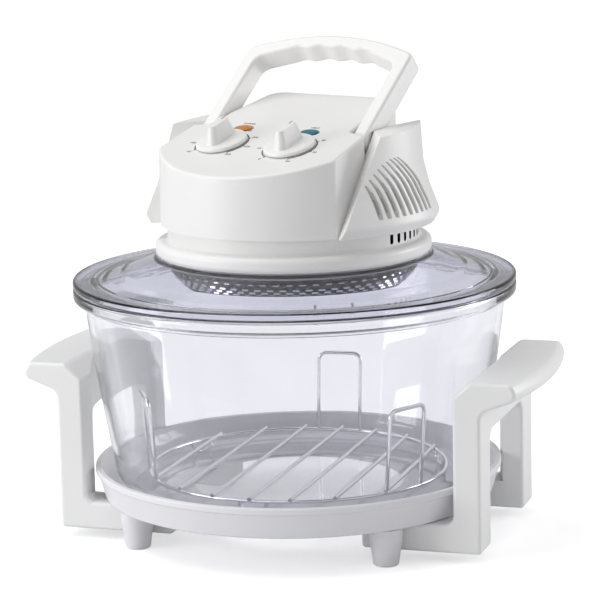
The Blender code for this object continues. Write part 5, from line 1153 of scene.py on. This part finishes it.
arm_inner = half_width - arm_width
arm_inner_top = arch_outer(arm_inner) - bar_thickness - 0.002
outer = [(half_width, arm_foot, 0)]
outer += [(half_width, arch_outer(half_width), 0.006)]
for i in range(1, 2 * half_steps):
    x = half_width * (1 - i / half_steps)
    outer.append((x, arch_outer(x), 0))
outer += [(-half_width, arch_outer(half_width), 0.006), (-half_width, arm_foot, 0)]
inner = [(-arm_inner, arm_foot, 0), (-arm_inner, arm_inner_top, 0.009)]
for i in range(4 * half_steps + 1):
    x = 2 * scallop_pitch * (i / (2 * half_steps) - 1)
    scallop = scallop_depth * math.sin(math.pi * x / scallop_pitch) ** 2
    inner.append((x, arch_outer(x) - bar_thickness + scallop, 0))
inner += [(arm_inner, arm_inner_top, 0.009), (arm_inner, arm_foot, 0)]
arch = slab(rounded(outer + inner, steps=6), -depth / 2, depth / 2, "Y")
rounded_ends = slab(rounded([
    (-depth / 2, -depth / 2, depth / 2 - 0.0001), (depth / 2, -depth / 2, depth / 2 - 0.0001),
    (depth / 2, 0.11, 0), (-depth / 2, 0.11, 0),
], steps=10), -half_width - 0.004, half_width + 0.004, "X")
arch = carved(arch, [rounded_ends], bevel=0.0026, bevel_deg=38.0, segments=4, operation="INTERSECT")
room_top = half_width + 0.002
room_step = half_width - 0.0026
room_bottom = arm_inner - 0.004
pin_rooms = []
for side in (1, -1):
    room = spun(rounded([
        (0, room_top, 0), (0.0058, room_top, 0), (0.0058, room_step, 0),
        (0.0033, room_step, 0), (0.0033, room_bottom, 0), (0, room_bottom, 0),
    ]), 32)
    pin_rooms.append(turned(room, side * math.pi / 2, "Y"))
arch = shifted(turned(carved(arch, pin_rooms), -lean, "X"), pivot)
add_to_head("carry_arch", arch, white_head, "white_plastic", "carry_handle", 35.0, body="handle")

# Handle pins: round steel pins, enamelled white, with flat slotted heads let into the outer faces of
# the arms.
white_enamel = plastic("white_enamel", (0.84, 0.84, 0.83), (0.8, 0.8, 0.79), 0.38)
pin_face = half_width - 0.0003
pin_shoulder = half_width - 0.0022
pin_end = 0.0503
pin_radius = 0.003
pin_head_radius = 0.0055
for name, side in (("right", 1), ("left", -1)):
    pin = spun(rounded([
        (0, pin_face, 0), (pin_head_radius, pin_face, 0.0005), (pin_head_radius, pin_shoulder, 0.0002),
        (pin_radius, pin_shoulder, 0), (pin_radius, pin_end, 0.0003), (0, pin_end, 0),
    ], steps=3), 48)
    head_slot = slab(oblong(0.006, 0.0005, 0), half_width - 0.001, half_width + 0.001)
    pin = turned(carved(pin, [head_slot]), side * math.pi / 2, "Y")
    pin_name = "handle_pin_" + name
    shifted(pin, pivot)
    add_to_head(pin_name + "_turned", pin, white_enamel, "motor_steel", pin_name)

# Cord gland: a black flanged bush through the back wall, where the lead goes in.
black_plastic = plastic("black_control_plastic", (0.03, 0.03, 0.033), (0.018, 0.018, 0.02), 0.48, 700.0)
gland_rise = 0.032
gland_radius = 0.0062
gland_flange = 0.009
gland_bore = 0.0038
gland_face = 0.002
gland_end = -0.012
wall_tilt = math.atan2(cheek_radius(gland_rise) - cheek_radius(gland_rise + gland_radius), gland_radius)
gland = spun(rounded([
    (gland_flange, gland_face, 0.0008), (gland_flange, 0.0003, 0.0002),
    (gland_radius, 0.0003, 0), (gland_radius, gland_end, 0.0004),
    (gland_bore, gland_end, 0.0002), (gland_bore, gland_face, 0.0005),
], steps=4), 48)
turned(gland, wall_tilt - math.pi / 2, "X")
shifted(gland, (0, cheek_radius(gland_rise), head_base + gland_rise))
add_to_head("cord_gland_bush", gland, black_plastic, "control_plastic", "cord_gland")

# What the head holds: the motor with its bushes, shaft and fans, the clockwork, the thermostat,
# the safety switch, the lamp's holders and the guard's posts, as built, with their own finishes.
plain_steel = metal("plain_steel", (0.5, 0.5, 0.51), (0.38, 0.38, 0.39), 0.32, 0.05)
laminated_steel = metal(
    "laminated_steel", (0.2, 0.2, 0.21), (0.13, 0.13, 0.14), 0.4, 0.2, (1, 1, 40), 40.0,
)
turned_bronze = metal(
    "turned_bronze", (0.55, 0.38, 0.2), (0.45, 0.3, 0.15), 0.3, 0.06, (1, 1, 30), 60.0,
)
white_ceramic = plastic("white_ceramic", (0.78, 0.76, 0.71), (0.7, 0.68, 0.63), 0.5, 1500.0)
for finish, kept in (
    (laminated_steel, ("motor_frame",)),
    (plain_steel, ("motor_shaft",)),
    (turned_bronze, ("motor_bush_lower", "motor_bush_upper")),
    (bright_sheet, ("cooling_fan", "hot_air_fan", "guard_post_1", "guard_post_2", "guard_post_3")),
    (black_plastic, ("timer_body", "thermostat_body", "safety_switch")),
    (white_ceramic, ("lamp_holder_1", "lamp_holder_2", "switch_plunger")),
):
    for name in kept:
        for kept_slot in frame["nodes"][name].material_slots:
            kept_slot.material = finish
